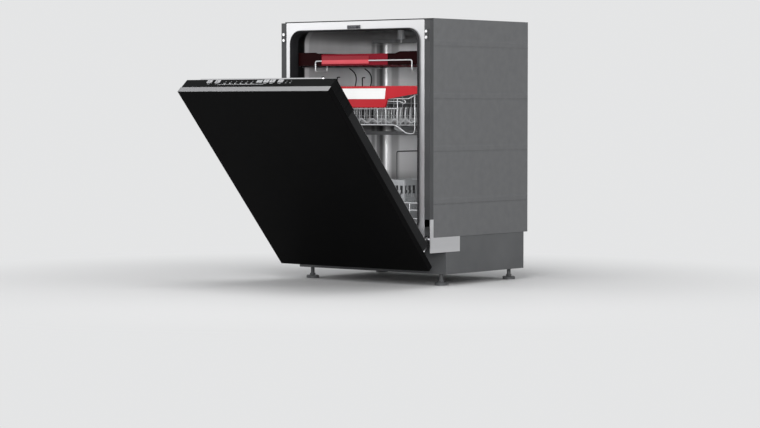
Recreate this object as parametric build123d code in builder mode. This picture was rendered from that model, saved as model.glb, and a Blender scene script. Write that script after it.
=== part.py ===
from build123d import *
from math import cos, radians, sin
import os

os.makedirs("parts", exist_ok=True)

# Built-in dishwasher, 60 cm class, door standing part open.
# Millimetres. X runs across, Y runs back into the machine, Z is up.
# Origin: floor level, middle of the width, front face of the tub's frame.

# Casing
body_width = 598.0
body_height = 815.0
body_rear = 506.0
casing_sheet = 0.8
casing_inset = 1.0

# Base
base_half = 296.0
base_front = 84.0
base_rear = 488.0
base_bottom = 35.0
base_top = 150.5
base_wall = 4.0
base_floor = 3.0
base_side_ledge = 34.0
base_front_ledge = 20.0
base_rear_ledge = 12.0

# Feet
foot_radius = 20.0
foot_pad = 9.0
foot_shank_radius = 6.0
foot_shank_top = 105.0
foot_boss_radius = 12.0
foot_boss_height = 42.0
foot_inset_x = 36.0
foot_inset_front = 22.0
foot_inset_rear = 30.0

# Tub, inside sizes
tub_sheet = 1.0
tub_half = 262.0
tub_bottom = base_top + tub_sheet
tub_top = 793.0
tub_back = 476.0
tub_corner = 46.0
tub_rear_round = 30.0
tub_seam = 182.0
bead_front = 31.0
bead_width = 14.0
bead_height = 6.0

# Front frame and its opening
frame_sheet = 1.5
frame_half = 277.0
frame_bottom = base_top
frame_top = 811.0
opening_half = 258.0
opening_bottom = 162.0
opening_top = 787.0
opening_corner = 42.0
frame_lip = 8.0

# Door layers, by their distance in front of the frame with the door shut
door_angle = 41.0
hinge_y = 14.0
hinge_z = 146.0
panel_thickness = 20.0
panel_half = 298.0
panel_bottom = 84.0
door_top = 805.0
core_depth = 33.0
liner_sheet = 1.0
liner_rear = -7.8
core_rear = liner_rear - liner_sheet
core_front = core_rear - core_depth
panel_face = core_front - panel_thickness
seal_clearance = 0.5

# Door shell
door_half = 296.0
door_sheet = 0.8
door_bottom = 148.0
housing_bottom = 686.0
housing_half = 297.0
housing_wall = 2.5
liner_half = 292.0
liner_bottom = 160.0
liner_top = 803.0
raised_half = 240.0
raised_bottom = 186.0
raised_top = 776.0
raised_corner = 40.0
raised_rear = 10.0
raised_edge = 6.0
lip_half = 248.0
lip_bottom = 789.0
lip_top = 804.0
lip_rear = -2.5

# Gasket
gasket_wall = 5.0
gasket_clearance = 0.3
gasket_depth = 28.0
gasket_nose = 3.5

# Hinges
arm_inner = 283.0
arm_thickness = 3.0
arm_width = 22.0
arm_height = 150.0
arm_foot = 24.0
pin_radius = 4.0
pin_clearance = 0.05
pin_head_radius = 7.0
bracket_sheet = 2.5
bracket_bottom = 104.0
bracket_reach = 66.0

# Side posts
post_bottom = 206.0
post_depth = 18.0
post_wall = 2.5
tab_width = 13.0
tab_bottom = 748.0
tab_height = 36.0
tab_thickness = 2.0

# Latch
strike_half = 26.0
strike_bar_half = 16.0
strike_bottom = 788.0
strike_height = 11.0
strike_bar = 4.0
strike_reach = 12.0
latch_slot_half = 29.0
latch_slot_bottom = 786.0
latch_slot_top = 800.0
hook_half = 13.0
hook_pivot_y = -29.0
hook_pivot_z = 772.0
hook_pin_radius = 3.0

# Keys and display on the top of the door
key_width = 19.0
key_depth = 12.0
key_rise = 2.0
key_skirt = 3.0
key_flange = 1.2
key_travel = 1.0
key_clearance = 0.3
key_row = -18.0
key_places = {"key_power": -194.0, "key_program": -161.0, "key_delay": 34.0,
              "key_options": 58.0, "key_start": 90.0}
display_centre = 6.0
display_width = 24.0
display_flange = 2.0
display_depth = 12.0
lamp_radius = 1.8
lamp_first = -128.0
lamp_pitch = 21.5
lamp_count = 6
lamp_end_places = (114.0, 131.0)

# Detergent dispenser, in the liner
dispenser_x = 20.0
dispenser_z = 468.0
dispenser_width = 210.0
dispenser_height = 150.0
dispenser_front = -34.0
dispenser_rear = 11.0
cup_width = 92.0
cup_height = 96.0
cup_depth = 36.0
lid_thickness = 3.0
lid_gap = 0.5
lid_pin_radius = 2.0
lid_barrel = 3.6
cap_radius = 22.0
cap_rise = 4.0

# Baskets
basket_gap = 0.3
basket_front = 18.0
basket_rear = 448.0
upper_half = 238.0
upper_bottom = 487.0
upper_front_top = 575.0
upper_side_top = 602.0
upper_wire = 3.5
upper_columns = 13
upper_rows = 9
lower_half = 246.0
lower_front = 20.0
lower_bottom = 190.0
lower_front_top = 256.0
lower_side_top = 300.0
lower_wire = 4.0
lower_columns = 12
lower_rows = 9
tine = 3.2
upper_tine_height = 55.0
lower_tine_height = 83.0

# Red rim and handle of the upper basket
rim_half = 243.0
rim_top = 611.0
rim_bottom = 583.0
rim_thickness = 6.0
handle_half = 117.0
handle_bottom = 545.0
insert_bottom = 571.0
insert_top = 604.0
insert_depth = 1.6
rim_arm_length = 120.0
rim_arm_width = 8.0

# Rails of the upper basket
rail_bottom = 548.0
rail_height = 24.0
rail_sheet = 1.5
rail_front = 50.0
rail_rear = 440.0
rail_inner = 246.0
rail_web = 253.0
slide_gap = 0.5
slide_outer = 252.4
glide_length = 40.0

# Cutlery tray
tray_half = 240.0
tray_front = 16.0
tray_bottom = 676.0
tray_top = 711.0
tray_side_top = 717.0
tray_wall = 2.5
tray_shoulder = 150.0
tray_rail_bottom = 672.0
tray_rail_height = 18.0
tray_handle_left = -142.0
tray_handle_right = 48.0
tray_handle_bottom = 681.0
tray_handle_height = 21.0
tray_wire_left = -168.0
tray_wire_right = 218.0
tray_wire_height = 690.0
tray_wire_drop = 657.0
tray_wire_radius = 2.0

# Water path
arm_centre_y = 235.0
sump_x = 40.0
sump_y = 215.0
sump_radius = 90.0
sump_wall = 3.0
sump_bottom = 58.0
sump_rim = 2.0
sump_rim_width = 8.0
sump_ledge = 2.5
spigot_radius = 8.0
spigot_clearance = 0.06
hub_radius = 18.0
lower_arm_z = 170.0
lower_arm_length = 215.0
arm_thick = 11.0
mid_arm_z = 458.0
mid_arm_length = 205.0
conduit_half = 14.0
conduit_height = 13.0
ceiling_arm_z = 749.0
ceiling_arm_length = 110.0
pipe_radius = 9.0
pipe_bore = 7.0
pipe_y = 464.0
pipe_top = 782.0
pipe_bottom = 112.0
pipe_bend = 30.0
filter_x = 75.0
filter_y = 180.0
filter_radius = 36.0
filter_clearance = 0.5

# Salt port and float
salt_x = -165.0
salt_y = 330.0
salt_radius = 24.0
float_x = 165.0
float_y = 112.0
float_radius = 21.0
float_stem_radius = 6.0
float_height = 13.5
floor_clearance = 0.3

# Rear connectors
connector_z = 90.0
valve_x = -215.0
valve_neck = 9.0
valve_thread = 13.2
drain_x = 185.0
inlet_x = 245.0

# Wheels
wheel_radius = 18.0
wheel_width = 9.0
axle_radius = 4.0
axle_clearance = 0.1
wheel_front_y = 105.0
wheel_rear_y = 395.0

# Cutlery basket
cutlery_x = 102.0
cutlery_y = 140.0
cutlery_width = 95.0
cutlery_length = 156.0
cutlery_bottom = 194.3
cutlery_height = 128.0
cutlery_wall = 2.2
bail_height = 92.0
bail_radius = 2.0
bail_half = 55.0

# Folding pieces
fold_rod_radius = 2.2
fold_rise = 4.5
fold_y = 300.0
fold_left = -222.0
fold_right = 30.0
fold_tines = 11
shelf_x = -231.0
shelf_rod_radius = 2.0
shelf_clips = (150.0, 340.0)
shelf_z = 605.0
shelf_top = 672.0
shelf_loops = (296.0, 374.0)
shelf_hooks = (115.0, 194.0, 321.0)


def front(y):
    """Upright plane across the machine, x to the right and z up, facing the user."""
    return Plane.XZ.offset(-y)


def side(x):
    """Upright plane along the machine, y to the back and z up."""
    return Plane.YZ.offset(x)


def level(z):
    """Level plane, x to the right and y to the back."""
    return Plane.XY.offset(z)


def door_point(x, y, z):
    """Where a point of the shut door lies with the door open by its modelled angle."""
    turn = radians(door_angle)
    back = y - hinge_y
    up = z - hinge_z
    return (x, hinge_y + back * cos(turn) - up * sin(turn), hinge_z + back * sin(turn) + up * cos(turn))


door_out = (0, -cos(radians(door_angle)), -sin(radians(door_angle)))
door_back = (0, cos(radians(door_angle)), sin(radians(door_angle)))
door_up = (0, -sin(radians(door_angle)), cos(radians(door_angle)))


def door_front(y):
    """The plane front(y) of the shut door, carried to its open place."""
    return Plane(origin=door_point(0, y, 0), x_dir=(1, 0, 0), z_dir=door_out)


def door_side(x):
    """The plane side(x) of the shut door, carried to its open place."""
    return Plane(origin=door_point(x, 0, 0), x_dir=door_back, z_dir=(1, 0, 0))


def door_level(z):
    """The plane level(z) of the shut door, carried to its open place."""
    return Plane(origin=door_point(0, 0, z), x_dir=(1, 0, 0), z_dir=door_up)


def block(plane, left, right, low, high, depth, mode=Mode.ADD):
    """Straight block on a rectangle of the plane, depth along its normal."""
    with BuildSketch(plane) as outline:
        with Locations(((left + right) / 2, (low + high) / 2)):
            Rectangle(right - left, high - low)
    extrude(outline.sketch, amount=depth, mode=mode)


def rod(plane, centre, radius, depth, mode=Mode.ADD):
    """Round rod, or round hole, standing on the plane."""
    with BuildSketch(plane) as outline:
        with Locations(centre):
            Circle(radius)
    extrude(outline.sketch, amount=depth, mode=mode)


def upright_outline(plane, half, low, high, corner):
    """Rounded rectangle about the machine's middle."""
    with BuildSketch(plane) as outline:
        with Locations((0, (low + high) / 2)):
            RectangleRounded(2 * half, high - low, corner)
    return outline.sketch


def net(plane, left, right, low, high, columns, rows, wire):
    """Flat wire net with its face on the plane, one wire deep behind it."""
    pitch_x = (right - left - wire) / columns
    pitch_y = (high - low - wire) / rows
    with BuildSketch(plane, mode=Mode.PRIVATE) as mesh:
        with Locations(((left + right) / 2, (low + high) / 2)):
            Rectangle(right - left, high - low)
            with GridLocations(pitch_x, pitch_y, columns, rows):
                Rectangle(pitch_x - wire, pitch_y - wire, mode=Mode.SUBTRACT)
    return extrude(mesh.sketch, amount=-wire, mode=Mode.PRIVATE)


def bars(plane, places, width, height, depth):
    """Bars of one section standing on the plane at each place."""
    with BuildSketch(plane, mode=Mode.PRIVATE) as ends:
        with Locations(*places):
            Rectangle(width, height)
    return extrude(ends.sketch, amount=depth, mode=Mode.PRIVATE)


def bar(plane, left, right, low, high, depth):
    """One bar on a rectangle of the plane, to be joined to others in one step."""
    return bars(plane, [((left + right) / 2, (low + high) / 2)], right - left, high - low, depth)


def welded(*wires):
    """Wires and nets of one basket, kept as solids that meet and are not joined into one."""
    return Compound([solid for wire in wires for solid in wire.solids()])


def tub_form():
    """Whole tub, open at the front, with its rear edges rounded and a bead behind the gasket."""
    with BuildPart() as form:
        outer = upright_outline(
            front(frame_sheet), tub_half + tub_sheet, tub_bottom - tub_sheet, tub_top + tub_sheet,
            tub_corner + tub_sheet
        )
        extrude(outer, amount=-(tub_back + tub_sheet - frame_sheet))
        fillet(form.faces().sort_by(Axis.Y)[-1].edges(), tub_rear_round + tub_sheet)
        offset(amount=-tub_sheet, openings=form.faces().sort_by(Axis.Y)[0])
        ring = upright_outline(front(bead_front), tub_half, tub_bottom, tub_top, tub_corner)
        hole = upright_outline(
            front(bead_front), tub_half - bead_height, tub_bottom + bead_height, tub_top - bead_height,
            tub_corner - bead_height
        )
        extrude(ring - hole, amount=-bead_width)
    return form.part


# Tub shell, walls, ceiling and back
with BuildPart() as tub_shell:
    add(tub_form())
    split(bisect_by=level(tub_seam), keep=Keep.TOP)
tub_shell.part.label = "tub_shell"
export_step(tub_shell.part, "parts/tub_shell.step")

# Tub floor, with its round hole for the sump and the small ones beside it
with BuildPart() as tub_floor:
    add(tub_form())
    split(bisect_by=level(tub_seam), keep=Keep.BOTTOM)
    rod(level(tub_bottom - 2 * tub_sheet), (sump_x, sump_y), sump_radius + floor_clearance, 3 * tub_sheet,
        Mode.SUBTRACT)
    rod(level(tub_bottom - 2 * tub_sheet), (salt_x, salt_y), salt_radius + floor_clearance, 3 * tub_sheet,
        Mode.SUBTRACT)
    rod(level(tub_bottom - 2 * tub_sheet), (float_x, float_y), float_stem_radius + floor_clearance,
        3 * tub_sheet, Mode.SUBTRACT)
    rod(level(tub_bottom - 2 * tub_sheet), (0, pipe_y), pipe_radius + floor_clearance,
        tub_rear_round, Mode.SUBTRACT)
tub_floor.part.label = "tub_floor"
export_step(tub_floor.part, "parts/tub_floor.step")

# Front frame, a flat steel ring with a return lip round the opening
with BuildPart() as front_frame:
    with BuildSketch(front(0)) as plate:
        with Locations((0, (frame_bottom + frame_top) / 2)):
            RectangleRounded(2 * frame_half, frame_top - frame_bottom, 4)
    opening = upright_outline(front(0), opening_half, opening_bottom, opening_top, opening_corner)
    lip = upright_outline(
        front(0), opening_half + frame_sheet, opening_bottom - frame_sheet, opening_top + frame_sheet,
        opening_corner + frame_sheet
    )
    extrude(plate.sketch - opening, amount=-frame_sheet)
    extrude(lip - opening, amount=-frame_lip)
front_frame.part.label = "front_frame"
export_step(front_frame.part, "parts/front_frame.step")

# Gasket, a rubber band inside the opening with a nose that meets the shut door
with BuildPart() as tub_gasket:
    seat = opening_half - gasket_clearance
    seat_low = opening_bottom + gasket_clearance
    seat_high = opening_top - gasket_clearance
    seat_corner = opening_corner - gasket_clearance
    band_outer = upright_outline(front(0), seat, seat_low, seat_high, seat_corner)
    band_inner = upright_outline(
        front(0), seat - gasket_wall, seat_low + gasket_wall, seat_high - gasket_wall,
        seat_corner - gasket_wall
    )
    nose_inner = upright_outline(
        front(0), seat - gasket_nose, seat_low + gasket_nose, seat_high - gasket_nose,
        seat_corner - gasket_nose
    )
    extrude(band_outer - band_inner, amount=-gasket_depth)
    extrude(band_outer - nose_inner, amount=-(liner_rear + seal_clearance))
    fillet(tub_gasket.edges().group_by(Axis.Y)[0], 1.2)
tub_gasket.part.label = "tub_gasket"
export_step(tub_gasket.part, "parts/tub_gasket.step")

# Side posts, dark channels beside the frame, each with a tab for a fixing screw
with BuildPart() as side_posts:
    post_outer = body_width / 2 - casing_inset
    block(level(post_bottom), frame_half, post_outer, 0, post_depth, frame_top - post_bottom)
    block(level(post_bottom), frame_half + post_wall, post_outer - post_wall, post_wall, post_depth,
          frame_top - post_bottom - post_wall, Mode.SUBTRACT)
    block(front(0), frame_half + post_wall, frame_half + post_wall + tab_width, tab_bottom,
          tab_bottom + tab_height, tab_thickness)
    for fraction in (0.25, 0.75):
        place = (frame_half + post_wall + tab_width / 2, tab_bottom + fraction * tab_height)
        rod(front(-tab_thickness), place, 2.4, -(tab_thickness + post_wall), Mode.SUBTRACT)
    mirror(about=Plane.YZ)
side_posts.part.label = "side_posts"
export_step(side_posts.part, "parts/side_posts.step")

# Screws in the tabs of the side posts
with BuildPart() as case_screws:
    for fraction in (0.25, 0.75):
        place = (frame_half + post_wall + tab_width / 2, tab_bottom + fraction * tab_height)
        rod(front(-tab_thickness), place, 4.6, 2.2)
        rod(front(-tab_thickness), place, 2.2, -(tab_thickness + post_wall + 6))
    mirror(about=Plane.YZ)
case_screws.part.label = "case_screws"
export_step(case_screws.part, "parts/case_screws.step")

# Outer casing, sheet over the sides, top and back
with BuildPart() as outer_casing:
    block(level(base_top), -body_width / 2 + casing_inset, body_width / 2 - casing_inset, post_depth,
          body_rear, body_height - base_top)
    offset(amount=-casing_sheet, openings=outer_casing.faces().sort_by(Axis.Y)[:1]
           + outer_casing.faces().sort_by(Axis.Z)[:1])
outer_casing.part.label = "outer_casing"
export_step(outer_casing.part, "parts/outer_casing.step")

# Base tray, a moulded box that carries the tub, the pumps and the feet
foot_places = {
    "foot_front_left": (-base_half + foot_inset_x, base_front + foot_inset_front),
    "foot_front_right": (base_half - foot_inset_x, base_front + foot_inset_front),
    "foot_rear_left": (-base_half + foot_inset_x, base_rear - foot_inset_rear),
    "foot_rear_right": (base_half - foot_inset_x, base_rear - foot_inset_rear),
}
with BuildPart() as base_tray:
    block(level(base_bottom), -base_half, base_half, base_front, base_rear, base_top - base_bottom)
    block(level(base_bottom + base_floor), -base_half + base_wall, base_half - base_wall,
          base_front + base_wall, base_rear - base_wall, base_top - base_bottom - 2 * base_floor,
          Mode.SUBTRACT)
    block(level(base_top - base_floor), -base_half + base_side_ledge, base_half - base_side_ledge,
          base_front + base_front_ledge, base_rear - base_rear_ledge, base_floor, Mode.SUBTRACT)
    rod(front(base_rear), (valve_x, connector_z), valve_neck + floor_clearance, base_wall, Mode.SUBTRACT)
    for place in foot_places.values():
        rod(level(base_bottom), place, foot_boss_radius, foot_boss_height)
        rod(level(base_bottom), place, foot_shank_radius + pin_clearance, foot_boss_height, Mode.SUBTRACT)
base_tray.part.label = "base_tray"
export_step(base_tray.part, "parts/base_tray.step")

# Feet, each a pad on a shank that screws up into the base
for name, place in foot_places.items():
    with BuildPart() as foot:
        rod(level(0), place, foot_radius, foot_pad)
        chamfer(foot.edges().group_by(Axis.Z)[-1], 2)
        rod(level(foot_pad), place, foot_shank_radius, foot_shank_top - foot_pad)
        chamfer(foot.edges().group_by(Axis.Z)[-1], 1)
        with BuildSketch(level(foot_pad)) as flats:
            with Locations(place):
                RegularPolygon(9.5, 6)
        extrude(flats.sketch, amount=6)
    foot.part.label = name
    export_step(foot.part, f"parts/{name}.step")

# Hinge brackets, plates on the base sides that hold the hinge pins
bracket_inner = base_half
bracket_outer = base_half + bracket_sheet
with BuildPart() as hinge_brackets:
    block(side(bracket_inner), hinge_y - 12, base_front + bracket_reach, bracket_bottom, base_top,
          bracket_sheet)
    block(side(bracket_inner), hinge_y - 12, post_depth, base_top, post_bottom, bracket_sheet)
    rod(side(arm_inner - 2), (hinge_y, hinge_z), pin_radius, bracket_outer - arm_inner + 2)
    rod(side(arm_inner - 3.5), (hinge_y, hinge_z), pin_head_radius, 2.5)
    mirror(about=Plane.YZ)
hinge_brackets.part.label = "hinge_brackets"
export_step(hinge_brackets.part, "parts/hinge_brackets.step")

# Hinge arms, steel plates inside the door that turn on the pins
arm_front = core_front + 4
with BuildPart() as hinge_arms:
    block(door_side(arm_inner), arm_front, arm_front + arm_width, door_bottom + 4,
          door_bottom + arm_height, arm_thickness)
    block(door_side(arm_inner), arm_front, hinge_y, hinge_z - arm_foot / 2, hinge_z + arm_foot / 2,
          arm_thickness)
    rod(door_side(arm_inner), (hinge_y, hinge_z), arm_foot / 2, arm_thickness)
    rod(door_side(arm_inner), (hinge_y, hinge_z), pin_radius + pin_clearance, arm_thickness, Mode.SUBTRACT)
    block(door_side(arm_inner), core_front + door_sheet, arm_front, door_bottom + 30,
          door_bottom + arm_height - 10, arm_thickness)
    mirror(about=Plane.YZ)
hinge_arms.part.label = "hinge_arms"
export_step(hinge_arms.part, "parts/hinge_arms.step")

# Furniture front
with BuildPart() as front_panel:
    block(door_front(core_front), -panel_half, panel_half, panel_bottom, door_top, panel_thickness)
    fillet(front_panel.edges(), 1.0)
front_panel.part.label = "front_panel"
export_step(front_panel.part, "parts/front_panel.step")

# Outer door, a steel tray behind the furniture front
with BuildPart() as door_outer:
    block(door_front(core_front), -door_half, door_half, door_bottom, housing_bottom, -(core_depth - 3))
    block(door_front(core_front + door_sheet), -door_half + door_sheet, door_half - door_sheet,
          door_bottom + door_sheet, housing_bottom, -core_depth, Mode.SUBTRACT)
    for centre in (-1, 1):
        notch = centre * (arm_inner + arm_thickness / 2)
        block(door_front(core_front + door_sheet), notch - arm_thickness, notch + arm_thickness,
              door_bottom - 1, door_bottom + 2 * door_sheet, -core_depth, Mode.SUBTRACT)
door_outer.part.label = "door_outer"
export_step(door_outer.part, "parts/door_outer.step")

def raised_form(inset):
    """The liner's raised field, drawn in by an inset on every side and rounded along its edge."""
    with BuildPart() as form:
        face = upright_outline(
            door_front(core_rear), raised_half - inset, raised_bottom + inset, raised_top - inset,
            raised_corner - inset
        )
        extrude(face, amount=-(raised_rear - inset - core_rear))
        fillet(form.faces().sort_by(Axis(origin=(0, 0, 0), direction=door_back))[-1].edges(),
               raised_edge - inset)
    return form.part


# Inner door liner, with a raised field that enters the tub and a lip along its top
raised_skin = raised_form(0)
raised_hollow = raised_form(liner_sheet)
dispenser_low = dispenser_z - dispenser_height / 2
dispenser_high = dispenser_z + dispenser_height / 2
dispenser_left = dispenser_x - dispenser_width / 2
dispenser_right = dispenser_x + dispenser_width / 2
with BuildPart() as door_liner:
    block(door_front(core_rear), -liner_half, liner_half, liner_bottom, liner_top, -liner_sheet)
    add(raised_skin)
    add(raised_hollow, mode=Mode.SUBTRACT)
    with BuildSketch(door_front(liner_rear)) as lip_face:
        with Locations((0, (lip_bottom + lip_top) / 2)):
            SlotOverall(2 * lip_half, lip_top - lip_bottom)
    extrude(lip_face.sketch, amount=-(lip_rear - liner_rear))
    block(door_front(core_rear - 1), -latch_slot_half, latch_slot_half, latch_slot_bottom, latch_slot_top,
          -(lip_rear - core_rear + 2), Mode.SUBTRACT)
    block(door_front(core_rear - 1), dispenser_left, dispenser_right, dispenser_low, dispenser_high,
          -(raised_rear - core_rear + 2), Mode.SUBTRACT)
door_liner.part.label = "door_liner"
export_step(door_liner.part, "parts/door_liner.step")

# Control housing, the black top end of the door
with BuildPart() as control_housing:
    block(door_front(core_front), -housing_half, housing_half, housing_bottom, door_top, -core_depth)
    fillet(control_housing.edges().filter_by(Axis(origin=(0, 0, 0), direction=door_back))
           .group_by(Axis(origin=(0, 0, 0), direction=door_up))[-1], 3)
    block(door_front(core_front + housing_wall), -housing_half + housing_wall, housing_half - housing_wall,
          housing_bottom + housing_wall, door_top - housing_wall, -core_depth, Mode.SUBTRACT)
    with BuildSketch(door_level(door_top)) as openings:
        for place in key_places.values():
            with Locations((place, key_row)):
                Rectangle(key_width + 2 * key_clearance, key_depth + 2 * key_clearance)
        with Locations((display_centre, key_row)):
            Rectangle(display_width + 2 * key_clearance, display_depth + 2 * key_clearance)
        lamp_places = [lamp_first + lamp_pitch * count for count in range(lamp_count)]
        with Locations(*[(place, key_row) for place in lamp_places + list(lamp_end_places)]):
            Circle(lamp_radius + key_clearance)
    extrude(openings.sketch, amount=-housing_wall, mode=Mode.SUBTRACT)
    for height in (0.25, 0.5, 0.75):
        vent = housing_bottom + height * (door_top - housing_bottom)
        for end in (-housing_half, housing_half - 1):
            block(door_side(end), core_front + 7, core_rear - 7, vent - 4, vent + 4, 1, Mode.SUBTRACT)
    rod(door_side(-hook_half - 4), (hook_pivot_y, hook_pivot_z), hook_pin_radius, 2 * hook_half + 8)
    for edge in (-hook_half - 4, hook_half + 1):
        block(door_side(edge), core_front + housing_wall, hook_pivot_y + 6, hook_pivot_z - 6,
              hook_pivot_z + 6, 3)
control_housing.part.label = "control_housing"
export_step(control_housing.part, "parts/control_housing.step")

# Keys, each a cap with a skirt that hooks under the housing
for name, place in key_places.items():
    with BuildPart() as key:
        block(door_level(door_top + key_rise), place - key_width / 2, place + key_width / 2,
              key_row - key_depth / 2, key_row + key_depth / 2, -(key_rise + housing_wall + key_skirt))
        fillet(key.edges().group_by(Axis(origin=(0, 0, 0), direction=door_up))[-1], 0.8)
        block(door_level(door_top - housing_wall - key_clearance), place - key_width / 2 - key_flange,
              place + key_width / 2 + key_flange, key_row - key_depth / 2 - key_flange,
              key_row + key_depth / 2 + key_flange, -(key_skirt - key_clearance))
    key.part.label = name
    export_step(key.part, f"parts/{name}.step")

# Display window and lamp lenses
with BuildPart() as display_window:
    block(door_level(door_top - 0.2), display_centre - display_width / 2, display_centre + display_width / 2,
          key_row - display_depth / 2, key_row + display_depth / 2, -housing_wall)
    block(door_level(door_top - housing_wall), display_centre - display_width / 2 - display_flange,
          display_centre + display_width / 2 + display_flange, key_row - display_depth / 2 - display_flange,
          key_row + display_depth / 2 + display_flange, -1.5)
    for place in lamp_places + list(lamp_end_places):
        rod(door_level(door_top + 0.2), (place, key_row), lamp_radius, -housing_wall - 0.2)
        rod(door_level(door_top - housing_wall), (place, key_row), lamp_radius + 1, -1.5)
display_window.part.label = "display_window"
export_step(display_window.part, "parts/display_window.step")

# Latch hook, in the housing behind the slot of the lip
with BuildPart() as latch_hook:
    with BuildSketch(door_side(-hook_half)) as hook_side:
        with Locations((hook_pivot_y, hook_pivot_z)):
            Circle(7)
        with BuildLine():
            Polyline(
                (hook_pivot_y - 5, hook_pivot_z), (hook_pivot_y - 5, latch_slot_top - 2),
                (hook_pivot_y + 9, latch_slot_top - 2), (hook_pivot_y + 9, latch_slot_top - 6),
                (hook_pivot_y, latch_slot_top - 6), (hook_pivot_y, hook_pivot_z + 12),
                (hook_pivot_y + 11, hook_pivot_z + 12), (hook_pivot_y + 11, hook_pivot_z + 7),
                (hook_pivot_y + 5, hook_pivot_z), close=True
            )
        make_face()
        with Locations((hook_pivot_y, hook_pivot_z)):
            Circle(hook_pin_radius + pin_clearance, mode=Mode.SUBTRACT)
    extrude(hook_side.sketch, amount=2 * hook_half)
latch_hook.part.label = "latch_hook"
export_step(latch_hook.part, "parts/latch_hook.step")

# Strike on the frame, a plate with a bar that enters the door
with BuildPart() as door_strike:
    block(front(0), -strike_half, strike_half, strike_bottom, strike_bottom + strike_height, 1.5)
    middle = strike_bottom + strike_height / 2
    block(front(0), -strike_bar_half, strike_bar_half, middle - strike_bar / 2, middle + strike_bar / 2,
          strike_reach)
    block(front(0), -strike_bar_half + 5, strike_bar_half - 5, middle - strike_bar, middle + strike_bar,
          strike_reach, Mode.SUBTRACT)
    block(front(0), -strike_bar_half + 5, strike_bar_half - 5, strike_bottom, strike_bottom + strike_height,
          1.5)
    block(front(1.5 - strike_reach), -strike_bar_half, strike_bar_half, middle - strike_bar / 2,
          middle + strike_bar / 2, 1.5)
door_strike.part.label = "door_strike"
export_step(door_strike.part, "parts/door_strike.step")

# Dispenser body, with a cup for detergent, a pin across its top and a port for rinse aid
cup_x = dispenser_left + cup_width / 2 + 10
cap_x = dispenser_right - cap_radius - 20
cup_low = dispenser_z - cup_height / 2
cup_high = dispenser_z + cup_height / 2
lid_axis = (dispenser_rear - lid_barrel - lid_gap, cup_high - lid_barrel - 3 * lid_gap)
with BuildPart() as dispenser_body:
    block(door_front(dispenser_front), dispenser_left + basket_gap, dispenser_right - basket_gap,
          dispenser_low + basket_gap, dispenser_high - basket_gap, -(dispenser_rear - dispenser_front))
    fillet(dispenser_body.edges().filter_by(Axis(origin=(0, 0, 0), direction=door_back)), 8)
    block(door_front(dispenser_rear - cup_depth), cup_x - cup_width / 2, cup_x + cup_width / 2, cup_low,
          cup_high, -cup_depth, Mode.SUBTRACT)
    rod(door_front(dispenser_rear - 14), (cap_x, dispenser_z), cap_radius - 2, -14, Mode.SUBTRACT)
    rod(door_side(cup_x - cup_width / 2), lid_axis, lid_pin_radius, cup_width)
dispenser_body.part.label = "dispenser_body"
export_step(dispenser_body.part, "parts/dispenser_body.step")

# Dispenser lid, flush in the mouth of the cup and hung on its pin
with BuildPart() as dispenser_lid:
    block(door_front(dispenser_rear), cup_x - cup_width / 2 + lid_gap, cup_x + cup_width / 2 - lid_gap,
          cup_low + lid_gap, lid_axis[1], lid_thickness)
    rod(door_side(cup_x - cup_width / 2 + lid_gap), lid_axis, lid_barrel, cup_width - 2 * lid_gap)
    block(door_front(dispenser_rear - lid_thickness), cup_x - cup_width / 2 + lid_gap,
          cup_x + cup_width / 2 - lid_gap, lid_axis[1] - lid_barrel, lid_axis[1], 1)
    rod(door_side(cup_x - cup_width / 2), lid_axis, lid_pin_radius + pin_clearance, cup_width, Mode.SUBTRACT)
    block(door_front(dispenser_rear), cup_x - 16, cup_x + 16, cup_low + 3, cup_low + 6, -2)
dispenser_lid.part.label = "dispenser_lid"
export_step(dispenser_lid.part, "parts/dispenser_lid.step")

# Rinse aid cap, a quarter turn plug
with BuildPart() as rinse_cap:
    rod(door_front(dispenser_rear + basket_gap), (cap_x, dispenser_z), cap_radius, -cap_rise)
    rod(door_front(dispenser_rear - 12), (cap_x, dispenser_z), cap_radius - 2 - basket_gap,
        -(12 + basket_gap))
    block(door_front(dispenser_rear + cap_rise), cap_x - cap_radius + 5, cap_x + cap_radius - 5,
          dispenser_z - 2.5, dispenser_z + 2.5, -3)
rinse_cap.part.label = "rinse_cap"
export_step(rinse_cap.part, "parts/rinse_cap.step")

# Sump, a cup under the floor with the hub of the lower spray arm
with BuildPart() as sump:
    rod(level(sump_bottom), (sump_x, sump_y), sump_radius, tub_bottom - sump_bottom)
    rod(level(tub_bottom), (sump_x, sump_y), sump_radius + sump_rim_width, sump_rim)
    rod(level(sump_bottom + sump_wall), (sump_x, sump_y), sump_radius - sump_wall,
        tub_bottom + sump_rim - sump_bottom, Mode.SUBTRACT)
    rod(level(sump_bottom), (0, arm_centre_y), hub_radius - 4, lower_arm_z - 1 - sump_bottom)
    rod(level(lower_arm_z - 1), (0, arm_centre_y), spigot_radius, arm_thick - 2)
    with BuildSketch(level(tub_bottom - 6)) as ledge:
        with Locations((sump_x, sump_y)):
            Circle(sump_radius - sump_wall / 2)
            Circle(sump_radius - sump_wall - sump_ledge, mode=Mode.SUBTRACT)
    extrude(ledge.sketch, amount=3)
sump.part.label = "sump"
export_step(sump.part, "parts/sump.step")

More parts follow.
